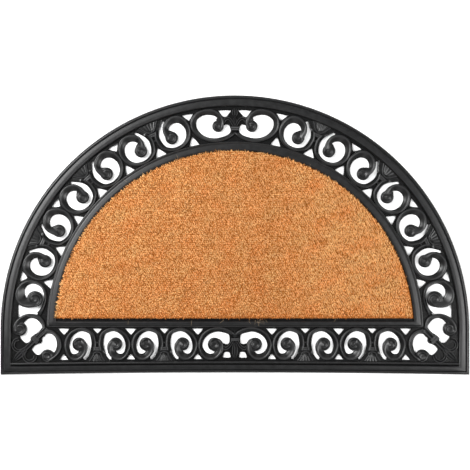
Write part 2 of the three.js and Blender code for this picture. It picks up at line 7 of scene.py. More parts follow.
import bpy
import numpy as np
from bpy.props import FloatProperty, FloatVectorProperty, IntProperty, PointerProperty
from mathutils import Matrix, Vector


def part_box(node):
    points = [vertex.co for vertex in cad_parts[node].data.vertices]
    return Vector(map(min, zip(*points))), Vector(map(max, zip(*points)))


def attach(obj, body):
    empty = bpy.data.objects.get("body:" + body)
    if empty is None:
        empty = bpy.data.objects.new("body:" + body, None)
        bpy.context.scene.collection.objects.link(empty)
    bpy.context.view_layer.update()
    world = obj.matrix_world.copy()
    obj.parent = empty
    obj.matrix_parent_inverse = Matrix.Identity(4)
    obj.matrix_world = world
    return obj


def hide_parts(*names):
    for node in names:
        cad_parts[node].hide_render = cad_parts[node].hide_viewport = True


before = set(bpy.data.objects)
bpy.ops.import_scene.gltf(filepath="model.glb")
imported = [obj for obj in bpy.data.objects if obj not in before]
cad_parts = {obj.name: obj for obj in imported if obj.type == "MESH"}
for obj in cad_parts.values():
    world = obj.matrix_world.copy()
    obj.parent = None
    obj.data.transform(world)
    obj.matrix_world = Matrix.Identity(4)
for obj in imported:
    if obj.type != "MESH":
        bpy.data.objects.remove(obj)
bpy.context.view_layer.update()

bl_info = {
    "name": "Half-round doormat",
    "version": (1, 0, 0),
    "blender": (4, 5, 0),
    "location": "View3D > Sidebar > Doormat",
    "description": "Builds a half-round rubber doormat with a scroll border and a coir pile inlay",
    "category": "Add Mesh",
}

MM = 0.001

# Plan of the whole mat
OUTER_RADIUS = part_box("rubber_mat")[1][0] / MM
ARC_CENTRE_Y = -151.5
BASE_MID_Y = -220.0
BASE_BOW = 3.5
CORNER_Y = BASE_MID_Y - BASE_BOW
ARC_BAND_RADIUS = 356.0
BASE_BAND_Y = -200.0
FRAME_RADIUS = 301.8
FRAME_BASE_Y = -147.2
ARC_CELL_RADIUS = 328.8
SUNK = 1.0

# Height above the floor
WEB_TOP = 3.4

# Flat floor of the tray: radius of its arc, height of its base line in plan, bottom, top
TRAY = (291, -140, 0.05, 3)

# How much wider the strips grow outwards near the volutes, and how far they run on around them
STRIP_SPREAD = 0.6
RUN_ON = 0.4

# Where the repeated scrolls stand along the two bands
BASE_TIES = (112.8, 220.0)
BASE_CONTACTS = (59.3, 166.4, 273.5)
ARC_TIES = (23.0, 44.2, 65.4)
ARC_CONTACTS = (12.4, 33.6, 54.8, 76.0)
SIDES = (-1, 1)

# Rim section: distance in from the edge on the arc, the same on the base, height
RIM_ROWS = (
    (0, 0, 0), (0, 0, 3.4), (0.5, 0.6, 4.6), (1.6, 1.7, 5.7), (3, 2.9, 6.3), (4.2, 3.8, 6.1),
    (4.9, 4.4, 5.2), (5.4, 4.7, 5.1), (5.9, 5.1, 6), (6.3, 5.4, 7.2), (6.9, 5.8, 8), (7.8, 6.4, 8.15),
    (10.4, 8, 8.45), (13.2, 10.3, 8.8), (13.8, 11, 8.72), (14.3, 11.4, 8.7), (15.2, 11.9, 8.9),
    (16.3, 12.5, 8.5), (17.1, 13, 7.5), (17.6, 13.4, 5.6), (17.9, 13.7, 3.2), (22.5, 21.6, 3.1),
    (22.5, 21.6, 0),
)
# Ridge along the base, inside the rim: how far it reaches from the middle, then its section as
# distance in from the base edge and height
RIDGE_REACH = 360
RIDGE_ROWS = (
    (14.2, 0.3), (14.2, 5.5), (14.7, 7.2), (15.6, 8), (16.8, 8.1), (17.9, 7.7), (18.6, 6.6), (18.9, 3.4),
    (18.9, 0.3),
)
# Inner frame section: radius of its arc, height of its base line in plan, height
FRAME_ROWS = (
    (301.8, -149.8, 0), (301.8, -149.8, 2.8), (301.4, -149.4, 3.1), (301.3, -147.3, 3.2),
    (301.15, -147.1, 6.2), (300.7, -146.7, 7.3), (300, -146.2, 7.55), (299.2, -145.7, 7.4),
    (298.5, -145.2, 6.8), (298, -144.9, 6.5), (297.5, -144.6, 6.8), (297, -144.1, 7.25),
    (295.8, -143.4, 7.4), (291.4, -141.2, 7.85), (288, -138.9, 8.2), (287.2, -138.2, 7.8),
    (286.8, -137.6, 6.6), (286.7, -137.3, 0),
)

# Scroll strips: outer u, outer v, inner u, inner v of each row, from the tie to the boss
BASE_SCROLL = {
    "width": 53.5,
    "rows": (
        (13.5, -1, 21.5, -1), (7, 8, 13.9, 8), (3.2, 16.8, 10.9, 16.8), (1.4, 26.4, 9.3, 27.2),
        (4.5, 40.8, 11.8, 40.3), (13.6, 49.3, 18.1, 44.9), (26.4, 52.4, 26.4, 46.6),
        (40, 47.5, 35.2, 42.9), (49, 38.4, 42.2, 35.2), (53.4, 25.6, 45.4, 24), (49.6, 11.2, 43.7, 14.4),
        (42.4, 2.4, 40, 10.1), (34.4, 0.2, 34.9, 9.3), (26.4, 2.4, 30.4, 10.9), (19.5, 9.6, 27.2, 14.7),
        (16.6, 17.6, 28, 16.6), (17.1, 25.6, 33, 18.2), (21.7, 31.8, 36.4, 21),
    ),
    "boss": (29.3, 25.9, 10.6),
    "heel": 2.4,
    "tie_notch": (10.6, 43.0),
    "contact_notch": (11.9, 40.8),
    "rim_notch": (8.6, 9.8),
    "tip": ((21.4, -1, 34, -1), (22.8, 6, 28.4, 6.6)),
}
ARC_SCROLL = {
    "width": 60.8,
    "rows": (
        (14.9, 0, 22.4, 1), (9, 8, 17, 8.5), (4.3, 16.8, 11.4, 16.8), (1.4, 27.2, 8.5, 27.2),
        (4.8, 42.4, 11.7, 40.8), (15.2, 51.5, 19.2, 47.2), (30.4, 54.9, 29.9, 49.6),
        (45.6, 50.9, 42.4, 46.7), (56.5, 40.8, 50.4, 38.9), (60.8, 27.2, 52.8, 27.7),
        (56.8, 12, 49.6, 18.1), (48.8, 2.9, 44, 12.5), (40, 0.3, 36.8, 10.4), (30, 2.4, 30, 12.5),
        (21.6, 8.8, 25.1, 17.3), (17.9, 18.4, 25.8, 20.2), (17.9, 26, 30.5, 23.8),
        (18.8, 33.4, 34, 27.6),
    ),
    "boss": (27.3, 33.1, 10.4),
    "heel": 2.8,
    "tie_notch": (10.6, 41.3),
    "contact_notch": (9.4, 40.9),
    "rim_notch": (12.0, 13.4),
    "tip": ((22.6, -1, 38, -1), (24, 7, 30, 7.5)),
}
BASE_CENTRE_SCROLL = {
    "rows": (
        (-1.6, 40.8, 3.2, 35.2), (5.6, 46.9, 10.1, 41), (16, 51.7, 17.6, 43.8), (28, 53.1, 28, 45.6),
        (40.8, 50.4, 38.4, 42.9), (52, 42.4, 46.9, 36.5), (58, 31, 51.7, 28), (59.2, 23.2, 52.2, 21.6),
        (56, 11.2, 48.8, 14.4), (48.8, 3.2, 44.8, 10.9), (40, 0.3, 38.9, 9), (30.4, 2.1, 33.6, 10.1),
        (22.4, 9.6, 30.4, 14.1), (18.7, 18.4, 30.4, 17.6), (19.7, 26.9, 30.4, 21.6),
        (24, 32.5, 31.2, 24.8),
    ),
    "boss": (32.5, 25.1, 10.9),
    "heel": 1.2,
}
ARC_CENTRE_SCROLL = {
    "rows": (
        (-1.6, 41.6, 3.2, 36), (6.4, 48, 10.9, 42.9), (17.6, 52.8, 19.2, 46.4), (32, 54.7, 32, 48.3),
        (46.4, 52, 44, 46.2), (60, 44, 54.1, 40.3), (68.6, 33, 60.8, 30.9), (71, 22.6, 62, 22.4),
        (67.4, 11.2, 59.4, 14.7), (57.6, 3.2, 52, 9.9), (45.6, 0.3, 43.2, 8.5), (33.6, 1.9, 33.6, 10.6),
        (23.7, 9.3, 27.2, 14.4), (18.1, 18.4, 28, 18.4), (17.3, 26.4, 27.2, 22.4),
        (20.8, 33.3, 27.2, 27.2),
    ),
    "boss": (27.2, 29.4, 9.3),
    "heel": 1.2,
}
# Corner scrolls count in from the side of the mat and up from its bottom corner
SIDE_SCROLL = {
    "rows": (
        (64, 94, 58.4, 99.5), (70, 106.7, 64.8, 107.5), (74, 121, 70, 122.7), (72.5, 135.5, 67.2, 136.3),
        (64.8, 146.7, 60.8, 143), (52, 151.5, 51.7, 146.2), (38.4, 149.4, 43.2, 143.5),
        (28.3, 141.1, 38.4, 137.9), (24, 129.1, 37.1, 131.5), (26.7, 117.1, 38.1, 125.9),
        (34.4, 110.2, 41.6, 121.6), (44.8, 107.8, 47.2, 121.1), (54, 108.6, 52, 121.9),
    ),
    "boss": (55.2, 121.1, 12.9),
    "heel": 1.2,
}
UPPER_LOBE = {
    "rows": (
        (72, 70, 66.2, 74.7), (71.7, 79.5, 65.9, 78.7), (68.8, 88.3, 62.1, 84.3), (61.6, 95, 56.8, 89.1),
        (49.6, 97.4, 49.6, 91.5), (38.4, 95.5, 42.4, 89.4), (28, 89.1, 37.6, 84.8),
        (21.6, 79.5, 33, 79.5), (20.6, 71.5, 31, 73.9),
    ),
    "boss": (31, 73.2, 11.3),
    "heel": 1.2,
}
LOWER_LOBE = {
    "rows": (
        (67.2, 70.7, 69.6, 60.3), (76, 73, 74.4, 65.3), (86.4, 69.6, 82.4, 64.6),
        (94.5, 60.5, 88.5, 58.2), (97.5, 48.3, 91.2, 49.1), (94.8, 36.6, 89.6, 40.3),
        (88, 28.5, 85.3, 34.7), (80, 22.5, 79, 33.1),
    ),
    "boss": (75.2, 29.9, 10.7),
    "heel": 1.2,
}

# Thin floors of the openwork around the fleurs and in the corners
CORNER_FLOORS = (
    ((18, 16), (82, 16), (75, 31), (66, 36.3), (63.2, 32.3), (59.2, 31.2), (54.4, 34.7), (49.9, 40.3),
     (54.4, 45.9), (60, 49.1), (64.8, 49.9), (67.2, 53.9), (66.4, 57.9), (73, 66), (80, 70), (78, 80),
     (67, 76), (60.8, 68.3), (52.8, 63.5), (48.3, 59.5), (48, 54.7), (44, 51), (39.2, 51), (33.6, 56.3),
     (31.2, 60.3), (33, 66), (31, 74), (18, 76)),
    ((16, 18), (22, 18), (28.5, 80), (28.5, 137), (19, 137)),
    ((76, 136), (82, 136), (80, 100), (78, 68), (66, 72), (69, 82), (64, 91), (58, 96), (63, 102),
     (68, 110), (72, 122), (71, 132)),
    ((90, 60), (100, 66), (102, 50), (98, 34), (93, 23), (93, 16), (82, 16), (85, 30), (92, 38),
     (94, 49)),
)
# Each half floor of a fleur is two outlines that lap over each other beside the small opening
BASE_FLEUR_FLOORS = (
    ((-1.5, -1), (40, -1), (38.5, 5), (19.2, 3.8), (12, 3.8), (6.7, 4.1), (7.3, 8), (8.8, 12.6), (9, 15),
     (-1.5, 15)),
    ((-1.5, 12), (8.8, 12.6), (12, 12.9), (15.8, 12.9), (17.6, 9.5), (19.2, 3.8), (22, 0), (38.5, 0),
     (32, 7), (27, 16), (19.5, 27), (14.4, 25.3), (11.2, 25.6), (9, 28), (8.5, 33.6), (9.6, 41),
     (16, 47.5), (28, 49.5), (34, 48.5), (34, 57), (-6, 59)),
)
ARC_FLEUR_FLOORS = (
    ((-1.5, -1), (42, -1), (40, 5), (24.8, 4.4), (15, 4.6), (5, 4.8), (9.6, 10.4), (12.8, 14.4),
     (12, 17), (-1.5, 17)),
    ((-1.5, 13), (12.8, 14.4), (17.6, 15.5), (20.8, 11.2), (24.8, 4.4), (27, 0), (36, 0), (32, 7),
     (26, 16), (20, 30.4), (16, 28), (12, 27.2), (8.5, 29.6), (6.7, 37.6), (9, 42.5), (18, 49.5),
     (32, 51.5), (45, 49), (57, 42.2), (61.5, 38), (64.5, 41), (60, 48), (57, 58), (-6, 60)),
)

# Arms of the fleurs, from the collar out to the scrolls
BASE_ARM = ((1.5, 32), (4.5, 29), (8, 23.5), (11.5, 20), (15.5, 18.6), (18.8, 20.5))
ARC_ARM = ((1.5, 30), (4.2, 25), (7, 20.4), (10.8, 18.2), (14.8, 19.2), (18, 23))
BASE_FLEUR = {"leaves": ((1, 30.5, 5, 1), (35, 46, 3, 0.5)), "collar": (30.8, 35.2)}
ARC_FLEUR = {"leaves": ((1, 16.5, 4.7, 1), (15, 31, 3.2, 1)), "collar": (31, 37.4)}
CORNER_ORIGIN = (20, 21)
CORNER_CURL = ((2, 28), (4, 21), (10.2, 17), (17.8, 18.5), (21.4, 26), (19, 32))

# Coir pad: radius of its arc, height of its base line in plan, height
COIR_ROWS = (
    (284.4, -132.2, 3.3), (285.2, -133, 4), (285.6, -133.4, 6), (285.4, -133.2, 8.5),
    (284.4, -132.2, 10), (281.6, -129.6, 10.6),
)
# Bed of the pile: height, height of its waves, the point that its rings draw in to
BED = (10.6, 0.1, (0.0, -30.0))
# Pile: height of the roots, shift in plan, lean for each step up, more lean between two x
ROOT_Z = 9.8
PILE_SHIFT = (-1.5, 0)
PILE_LEAN = (-0.4, 0.5)
RIGHT_LEAN = ((60, 210), (0, 0.7))
PILE_SEEDS = (21, 22, 23, 24, 25)
# Scatter of tufts and of roots, as shares of the pitch; spread of the lean, and share that leans
SCATTER = (0.2, 0.135)
LEAN_SPREAD = 0.12
LEAN_SHARE = 0.7
# At the edge of the pile: how far in it is felt, drop, splay, how far in the shade reaches
EDGE = (1.6, 1.8, 0.75, 3.5)
# Sparse tufts: their share, how much they gather, how far they sink, how much darker they are painted as
# shade in the gaps
SPARSE = (0.1, 0.045, 3.4, 3.6)
# Uneven height of tufts, of fibres, and the most that a tip stands over the mean
RISE = (0.6, 0.35, 1.6)
# Roughness of clean rubber
GLOSS = 0.19
# Share of its colour that a fibre keeps at the root, as painted shade, then what mottles a fibre and a
# stray one
ROOT_SHADE = 0.42
MOTTLE = (0.62, 0.3, 0.1, 1)
STRAY_PALE = (0.3, 0.24, 0.17, 1)

# Stray fibres: least height, rise and radius of the near end, most bend in radians
STRAY = (8.2, 3.4, 0.24, 0.25)
# Stray fibres on the rubber: where one starts, its heading in degrees, its length
STRAYS = (
    (-69, -136, 268, 9), (-17, -135, 218, 10), (-170, -136, 265, 7), (22, -136, 296, 7),
    (39, -135, 250, 6), (43, -136, 285, 5), (33, -135, 262, 9), (36, -136, 285, 10), (41, -134, 255, 9),
    (46, -136, 275, 7), (49, -135, 300, 6), (34, -139, 352, 9), (161, -134, 240, 6), (-172, 84, 140, 8),
    (-90, 121, 112, 8), (118, 108, 60, 6),
)

# Soft lights: name, power in watts, side in metres, place in metres
LIGHTS = (
    ("light_left", 83, 1.1, (-1.35, 0.66, 1.75)), ("light_right", 49, 1.1, (1.45, -0.46, 1.75)),
    ("light_back", 9, 1.4, (0.4, 2.1, 1.5)), ("light_front", 9, 1.4, (-0.4, -2.1, 1.5)),
)
WORLD_LIGHT = 0.19
FLOOR_REACH = 4000.0
# Picture: pixels across, millimetres to a pixel at the webs, where the camera stands in x, in metres
PICTURE = (470, 1.6, 0.0002)


def pair(x, y):
    """Plan points from their two coordinates, each of them an array or one number."""
    return np.stack(np.broadcast_arrays(x, y), -1)


def curve(points, count):
    """Smooth curve through points: on the span b to c, with neighbours a and d and t from 0 to 1,
    half of 2b + (c - a) t + (2a - 5b + 4c - d) t^2 + (3b - a - 3c + d) t^3. End points count twice."""
    p = np.asarray(points, float)
    padded = np.vstack([p[:1], p, p[-1:]])
    place = np.linspace(0, len(p) - 1, count)
    i = np.minimum(place.astype(int), len(p) - 2)
    t = (place - i)[:, None]
    a, b, c, d = padded[i], padded[i + 1], padded[i + 2], padded[i + 3]
    cubic = 2 * b + (c - a) * t + (2 * a - 5 * b + 4 * c - d) * t**2 + (3 * b - a - 3 * c + d) * t**3
    return cubic / 2


def square_to(path):
    """Unit vectors to the left of a path, square to it."""
    along = np.gradient(path, axis=0)
    left = pair(-along[:, 1], along[:, 0])
    return left / np.linalg.norm(left, axis=1)[:, None]


def rounded_outline(points, steps=4, keep=0.5):
    """Closed outline with softened corners: each corner p becomes the quadratic
    (1 - t)^2 a + 2 t (1 - t) p + t^2 b, where a and b are the points at the share keep / 2 of the way
    from p to its neighbours."""
    p = np.asarray(points, float)
    before = p + (np.roll(p, 1, 0) - p) * keep / 2
    after = p + (np.roll(p, -1, 0) - p) * keep / 2
    t = np.linspace(0, 1, steps)[None, :, None]
    arcs = (1 - t) ** 2 * before[:, None] + 2 * t * (1 - t) * p[:, None] + t**2 * after[:, None]
    return arcs.reshape(-1, 2)


def bowed(x, y):
    """Plan point whose y drops by bow (x / R)^2, all of it at the base edge and none at the frame."""
    share = np.maximum(0, (FRAME_BASE_Y - y) / (FRAME_BASE_Y - BASE_MID_Y))
    return pair(x, y - BASE_BOW * share * (x / OUTER_RADIUS) ** 2)


def base_cell(axis, side):
    """Band to plan on the straight edge: x = axis + side u, y = band + v, then bowed."""
    return lambda p: bowed(axis + side * p[..., 0], BASE_BAND_Y + p[..., 1])


def arc_cell(axis, side):
    """Band to plan on the arc: angle = axis + side u / cell radius from straight up, radius = band - v."""
    def place(p):
        angle = np.radians(axis) + side * p[..., 0] / ARC_CELL_RADIUS
        radius = ARC_BAND_RADIUS - p[..., 1]
        return pair(radius * np.sin(angle), ARC_CENTRE_Y + radius * np.cos(angle))
    return place


def corner_cell(side):
    """Corner to plan: x = side (R - a), y = corner + b."""
    return lambda p: pair(side * (OUTER_RADIUS - p[..., 0]), CORNER_Y + p[..., 1])


def diagonal_cell(side):
    """Corner diagonal to plan: v runs along the diagonal from the rim's inner corner, u across it."""
    corner = corner_cell(side)
    half = np.sqrt(0.5)

    def place(p):
        u, v = p[..., 0], p[..., 1]
        return corner(pair(CORNER_ORIGIN[0] + half * (v + u), CORNER_ORIGIN[1] + half * (v - u)))
    return place


def d_loop(radius, base_y, arc_count=180, base_count=48):
    """D-shaped loop: the arc (r cos a, c + r sin a) for a from s to pi - s, sin s = (base - c) / r,
    then the bowed run back along the base. Where the base lies below the arc's centre c, s is 0
    and straight sides join the two."""
    rise = base_y - ARC_CENTRE_Y
    start = np.arcsin(rise / radius) if rise > 0 else 0.0
    angle = np.linspace(start, np.pi - start, arc_count + 1)
    arc = pair(radius * np.cos(angle), ARC_CENTRE_Y + radius * np.sin(angle))
    x = np.linspace(-radius * np.cos(start), radius * np.cos(start), base_count + 1)
    if rise > 0:
        x = x[1:-1]
    return np.vstack([arc, bowed(x, base_y)])


def with_height(plan, z):
    """Points of the plan with a height each."""
    return np.concatenate([plan, np.broadcast_to(z, plan.shape[:-1])[..., None]], -1)


class Moulding:
    """Gathers closed shells, in millimetres, and makes one mesh object of them."""

    def __init__(self):
        self.points = []
        self.loops = []
        self.sizes = []
        self.crests = []
        self.count = 0

    def shell(self, sections, ring=False, crest=0.0):
        """Closed surface through equal sections: corner (i, j) is point j of section i, each four
        neighbours (i, j), (i, j + 1), (i + 1, j + 1), (i + 1, j) make a face, and each end of an open
        row is one flat face. The faces turn outwards, judged by the sum of a . (b x c). Crest says how
        much painted highlight each corner gets."""
        rows, size = sections.shape[:2]
        points = sections.reshape(-1, 3)
        i, j = np.meshgrid(np.arange(rows if ring else rows - 1), np.arange(size), indexing="ij")
        here, nxt, right = i * size, ((i + 1) % rows) * size, (j + 1) % size
        quads = np.stack([here + j, here + right, nxt + right, nxt + j], -1).reshape(-1, 4)
        caps = [] if ring else [np.arange(size)[::-1], (rows - 1) * size + np.arange(size)]
        fans = [np.stack([np.full(size - 2, c[0]), c[1:-1], c[2:]], -1) for c in caps]
        triangles = np.vstack([quads[:, :3], quads[:, [0, 2, 3]], *fans])
        a, b, c = (points[triangles[:, k]] for k in range(3))
        faces = [quads] + [cap[None] for cap in caps]
        if np.einsum("ij,ij->", a, np.cross(b, c)) < 0:
            faces = [f[:, ::-1] for f in faces]
        for f in faces:
            self.loops.append(f.ravel() + self.count)
            self.sizes.append(np.full(len(f), f.shape[1]))
        self.points.append(points)
        self.crests.append(np.broadcast_to(crest, (rows, size)).ravel())
        self.count += len(points)

    def ribbon(self, outer, inner, section, place, lift=1.0, painted_highlight=1.0):
        """Ribbon between two matched edge curves. Section rows are (f, d, z): the point lies at
        outer + f (inner - outer) + d unit(inner - outer), at height z. Lift scales what stands
        above the web. The painted highlight fades from the section's highest line to nothing 0.7 mm
        below it."""
        f, d, z = np.asarray(section, float).T
        across = inner - outer
        unit = across / np.linalg.norm(across, axis=1)[:, None]
        plan = outer[:, None] + across[:, None] * f[None, :, None] + unit[:, None] * d[None, :, None]
        low = WEB_TOP + 0.15
        height = np.where(z > low, low + (z - low) * np.broadcast_to(lift, len(outer))[:, None], z)
        crest = painted_highlight * np.clip(1 + (z - z.max()) / 0.7, 0, 1)
        self.shell(with_height(place(plan), height), crest=crest)

    def bar(self, path, half_width, section, place, lift=1.0, painted_highlight=1.0):
        """Bar along a path: its edges lie half_width to each side, square to the path."""
        reach = square_to(path) * np.broadcast_to(half_width, len(path))[:, None]
        self.ribbon(path + reach, path - reach, section, place, lift, painted_highlight)

    def collar(self, low, high, reach, place, lift=1.0, painted_highlight=1.0, steps=12):
        """Straight collar across the middle line, from v = low to high and reach to each side."""
        u = np.linspace(-reach, reach, steps)
        self.ribbon(pair(u, low), pair(u, high), COLLAR_SECTION, place, lift, painted_highlight)

    def floor(self, outline, place, order, soft=0.5):
        """Flat floor with a softened top edge: its outline at the bottom and just under the top, and
        drawn in by the soft width at the top itself, square to the outline. Floors lap over each
        other, so each order has its own height."""
        top = WEB_TOP - 0.06 - 0.04 * order
        bottom = 0.1 + 0.03 * order
        edge = rounded_outline(outline)
        along = np.roll(edge, -1, 0) - np.roll(edge, 1, 0)
        normal = pair(along[:, 1], -along[:, 0])
        normal /= np.linalg.norm(normal, axis=1)[:, None]
        x, y = edge.T
        turn = np.sign(np.sum(x * np.roll(y, -1) - y * np.roll(x, -1)))
        drawn = edge - turn * soft * normal
        levels = [(edge, bottom), (edge, top - soft), (drawn, top)]
        self.shell(np.stack([with_height(place(ring), z) for ring, z in levels]))

    def boss(self, centre, radius, start, reach, place, turning, steps=56):
        """Volute boss on a polar grid: height = low dome + a bead along the spiral
        path = (R - 1.6)(1 - 0.6 turns), which sets off at the start angle from the strip's own crest,
        at its reach and height, and sinks as it turns inwards. The wall drops straight to the floor."""
        phi = np.linspace(0, 2 * np.pi, steps, endpoint=False)
        share = np.concatenate([[1, 1, 1], np.linspace(0.97, 0.04, 22)])[:, None]
        rho = share * radius
        turns = np.mod(turning * (phi - start) / (2 * np.pi), 1.0)[None, :]
        spiral = 0.0
        for lap in (0, 1):
            path = (radius - 1.6) * (1 - 0.6 * (turns + lap))
            path = path + (reach - radius) * np.exp(-9 * (turns + lap))
            rise = np.clip(3.1 - 2.2 * (turns + lap), 0, 3.1) * np.clip((path - 1.6) / 3.4, 0, 1)
            off = rho - path
            crest = np.where(off > 0, np.exp(-((off / 2.2) ** 4)), np.exp(-((off / 1.7) ** 2)))
            spiral = np.maximum(spiral, rise * crest)
        height = 4.8 + 0.45 * (1 - share**2) + spiral
        height[0] = 0.15
        height[1] = 4.4
        plan = pair(centre[0] + radius * share * np.cos(phi), centre[1] + radius * share * np.sin(phi))
        self.shell(with_height(place(plan), height))

    def object(self, name, finish, sharp=0.7):
        """The gathered shells as one object in metres, smooth but for edges over the sharp angle."""
        made = mesh_object(name, np.vstack(self.points), np.concatenate(self.loops),
                           np.concatenate(self.sizes), finish)
        crest = made.data.attributes.new("crest", "FLOAT", "POINT")
        crest.data.foreach_set("value", np.concatenate(self.crests).astype(np.float32))
        made.data.shade_smooth()
        made.data.set_sharp_from_angle(angle=sharp)
        return made


def mesh_object(name, points, loops, sizes, finish):
    """A mesh object at the origin from corner points in millimetres and face loops."""
    mesh = bpy.data.meshes.new(name)
    mesh.vertices.add(len(points))
    mesh.vertices.foreach_set("co", (points * MM).astype(np.float32).ravel())
    mesh.loops.add(len(loops))
    mesh.loops.foreach_set("vertex_index", loops.astype(np.int32))
    mesh.polygons.add(len(sizes))
    starts = np.concatenate([[0], np.cumsum(sizes)[:-1]]).astype(np.int32)
    mesh.polygons.foreach_set("loop_start", starts)
    mesh.update(calc_edges=True)
    mesh.validate()
    mesh.materials.append(finish)
    made = bpy.data.objects.new(name, mesh)
    bpy.context.scene.collection.objects.link(made)
    return made


# Sections of ribbons: share of the width, distance in from the outer edge, height
STRIP_SECTION = (
    (0, 0, 0.3), (0, 0, 6.4), (0.01, 0.3, 7.4), (0.05, 0.6, 8), (0.12, 0.8, 8.2), (0.2, 0.9, 8),
    (0.28, 1, 7.5), (0.38, 0.9, 6.7), (0.52, 0.7, 5.6), (0.67, 0.4, 4.6), (0.83, 0.2, 3.7),
    (1, -0.25, 2.9), (1, 0, 2.5), (1, 0, 0.3),
)
TIP_SECTION = ((0, 0, 0.1), (0, 0, 3.1), (0, 0.4, 3.5), (1, 0, 3.5), (1, 0, 0.1))


def mirrored(*half):
    """Symmetric section: (share, height) rows up to the middle, then their mirror image."""
    back = [(1 - f, z) for f, z in half[::-1] if f < 0.5]
    return tuple((f, 0, z) for f, z in (*half, *back))


DOUBLE_RIDGE = mirrored((0, 0.4), (0, 6.8), (0.04, 7.5), (0.12, 7.8), (0.2, 7.5), (0.3, 6.5),
                        (0.4, 5.6), (0.5, 5.3))
COLLAR_SECTION = mirrored((0, 0.4), (0, 6.6), (0.08, 7.7), (0.22, 8.1), (0.4, 7.9), (0.5, 7.1))
SMALL_BAR = mirrored((0, 0.4), (0, 5.6), (0.2, 6.5))
BELL_BAR = mirrored((0, 0.4), (0, 6.2), (0.2, 7.2), (0.5, 7.6))
GROOVED_LEAF = mirrored((0, 0.4), (0, 6.6), (0.04, 7.3), (0.1, 7.7), (0.17, 7.2), (0.24, 6.2),
                        (0.31, 5.6), (0.4, 6.7), (0.5, 7.8))


def fluted(ridges, low, high, steps=25):
    """Section with flutes: z = low + (high - low)(0.5 - 0.5 cos(2 pi ridges t)), sides straight down."""
    t = np.linspace(0, 1, steps)
    z = low + (high - low) * (0.5 - 0.5 * np.cos(2 * np.pi * ridges * t))
    top = np.stack([t, np.zeros_like(t), z], -1)
    return np.vstack([[0, 0, 0.4], top, [1, 0, 0.4]])


def notch(v, apex, past, half_width):
    """Half width of a round-nosed notch: k sqrt(x^2 + 2 r x) with x how far v is past the apex and r
    the nose radius, scaled to half_width at past."""
    nose = 0.9
    reach = abs(past - apex)
    x = np.clip((v - apex) * np.sign(past - apex), 0, None)
    return half_width * np.sqrt(x**2 + 2 * nose * x) / np.sqrt(reach**2 + 2 * nose * reach)


def half_web(moulding, rows, edge_u, edge_v, gap, place):
    """Half of a thin web: at each v it spans from the notch's half width to the middle of the scroll
    strip beside it, with a softened edge along the notch."""
    v = np.linspace(*rows, 40)
    near = gap(v)
    far = np.interp(v, edge_v, edge_u)
    soft = 0.5 * np.clip(near, 0, 1)
    across = np.stack([far, far, near + soft, near, near], -1)
    height = np.stack([0 * v + 0.05, 0 * v + WEB_TOP, 0 * v + WEB_TOP, WEB_TOP - soft, 0 * v + 0.05], -1)
    plan = pair(across, np.broadcast_to(v[:, None], across.shape))
    moulding.shell(with_height(place(plan), height))


def full_rows(pattern):
    """Rows of a scroll's strip, filled out towards the volute: inwards by up to the pattern's heel,
    outwards by up to the strip's spread."""
    rows = np.array(pattern["rows"], float)
    across = rows[:, 2:] - rows[:, :2]
    across /= np.linalg.norm(across, axis=1)[:, None]
    row, last, heel = np.arange(len(rows)), len(rows) - 1, pattern["heel"]
    slow = np.interp(row, (0, 4, max(5, last - 6)), (0, 0.5, 0.8))
    full = np.interp(row, (last - 6, last - 3, last - 2, last), (0.8, heel, heel, 0))
    inwards = np.where(row < max(4, last - 6), slow, full)
    outwards = STRIP_SPREAD * np.interp(row, (last - 5, last - 3), (0, 1))
    rows[:, 2:] += across * inwards[:, None]
    rows[:, :2] -= across * outwards[:, None]
    return rows


def scroll(moulding, pattern, place):
    """One scroll: its strip, its volute and, where the pattern has a tip, a low flat tip beside the
    strip's start. The strip runs on a little way around the volute, so that its end is buried in it."""
    rows = full_rows(pattern)
    u, v, radius = pattern["boss"]
    start = np.arctan2(rows[-1, 1] - v, rows[-1, 0] - u)
    before = np.arctan2(rows[-2, 1] - v, rows[-2, 0] - u)
    turning = np.sign(np.sin(start - before))
    reach = np.hypot(rows[-1, 0] - u, rows[-1, 1] - v)
    moulding.boss((u, v), radius, start, reach, place, turning)
    heading = np.array([np.cos(start + RUN_ON * turning), np.sin(start + RUN_ON * turning)])
    inward = min(np.hypot(rows[-1, 2] - u, rows[-1, 3] - v), radius) * 0.8
    outward = min(reach, radius) - 0.4
    strip = np.vstack([rows, np.concatenate([(u, v) + outward * heading, (u, v) + inward * heading])])
    count = 5 * len(strip)
    row = np.linspace(0, len(rows), count)
    begin, over = (1.5, 0.4) if "tip" in pattern else (-0.3, 0.9)
    lift = np.clip((row - begin) / over, 0, 1) * np.clip(0.84 + (len(rows) - 1 - row) / 4, 0.7, 1)
    outer, inner = curve(strip[:, :2], count), curve(strip[:, 2:], count)
    # The strips take a faint painted highlight, 0.2 of the full one
    moulding.ribbon(outer, inner, STRIP_SECTION, place, lift, 0.2)
    if "tip" in pattern:
        tip = np.asarray(pattern["tip"], float)
        t = np.linspace(0, 1, 6)[:, None]
        near = tip[0, :2] + t * (tip[1, :2] - tip[0, :2])
        far = tip[0, 2:] + t * (tip[1, 2:] - tip[0, 2:])
        moulding.ribbon(near, far, TIP_SECTION, place, painted_highlight=0.0)


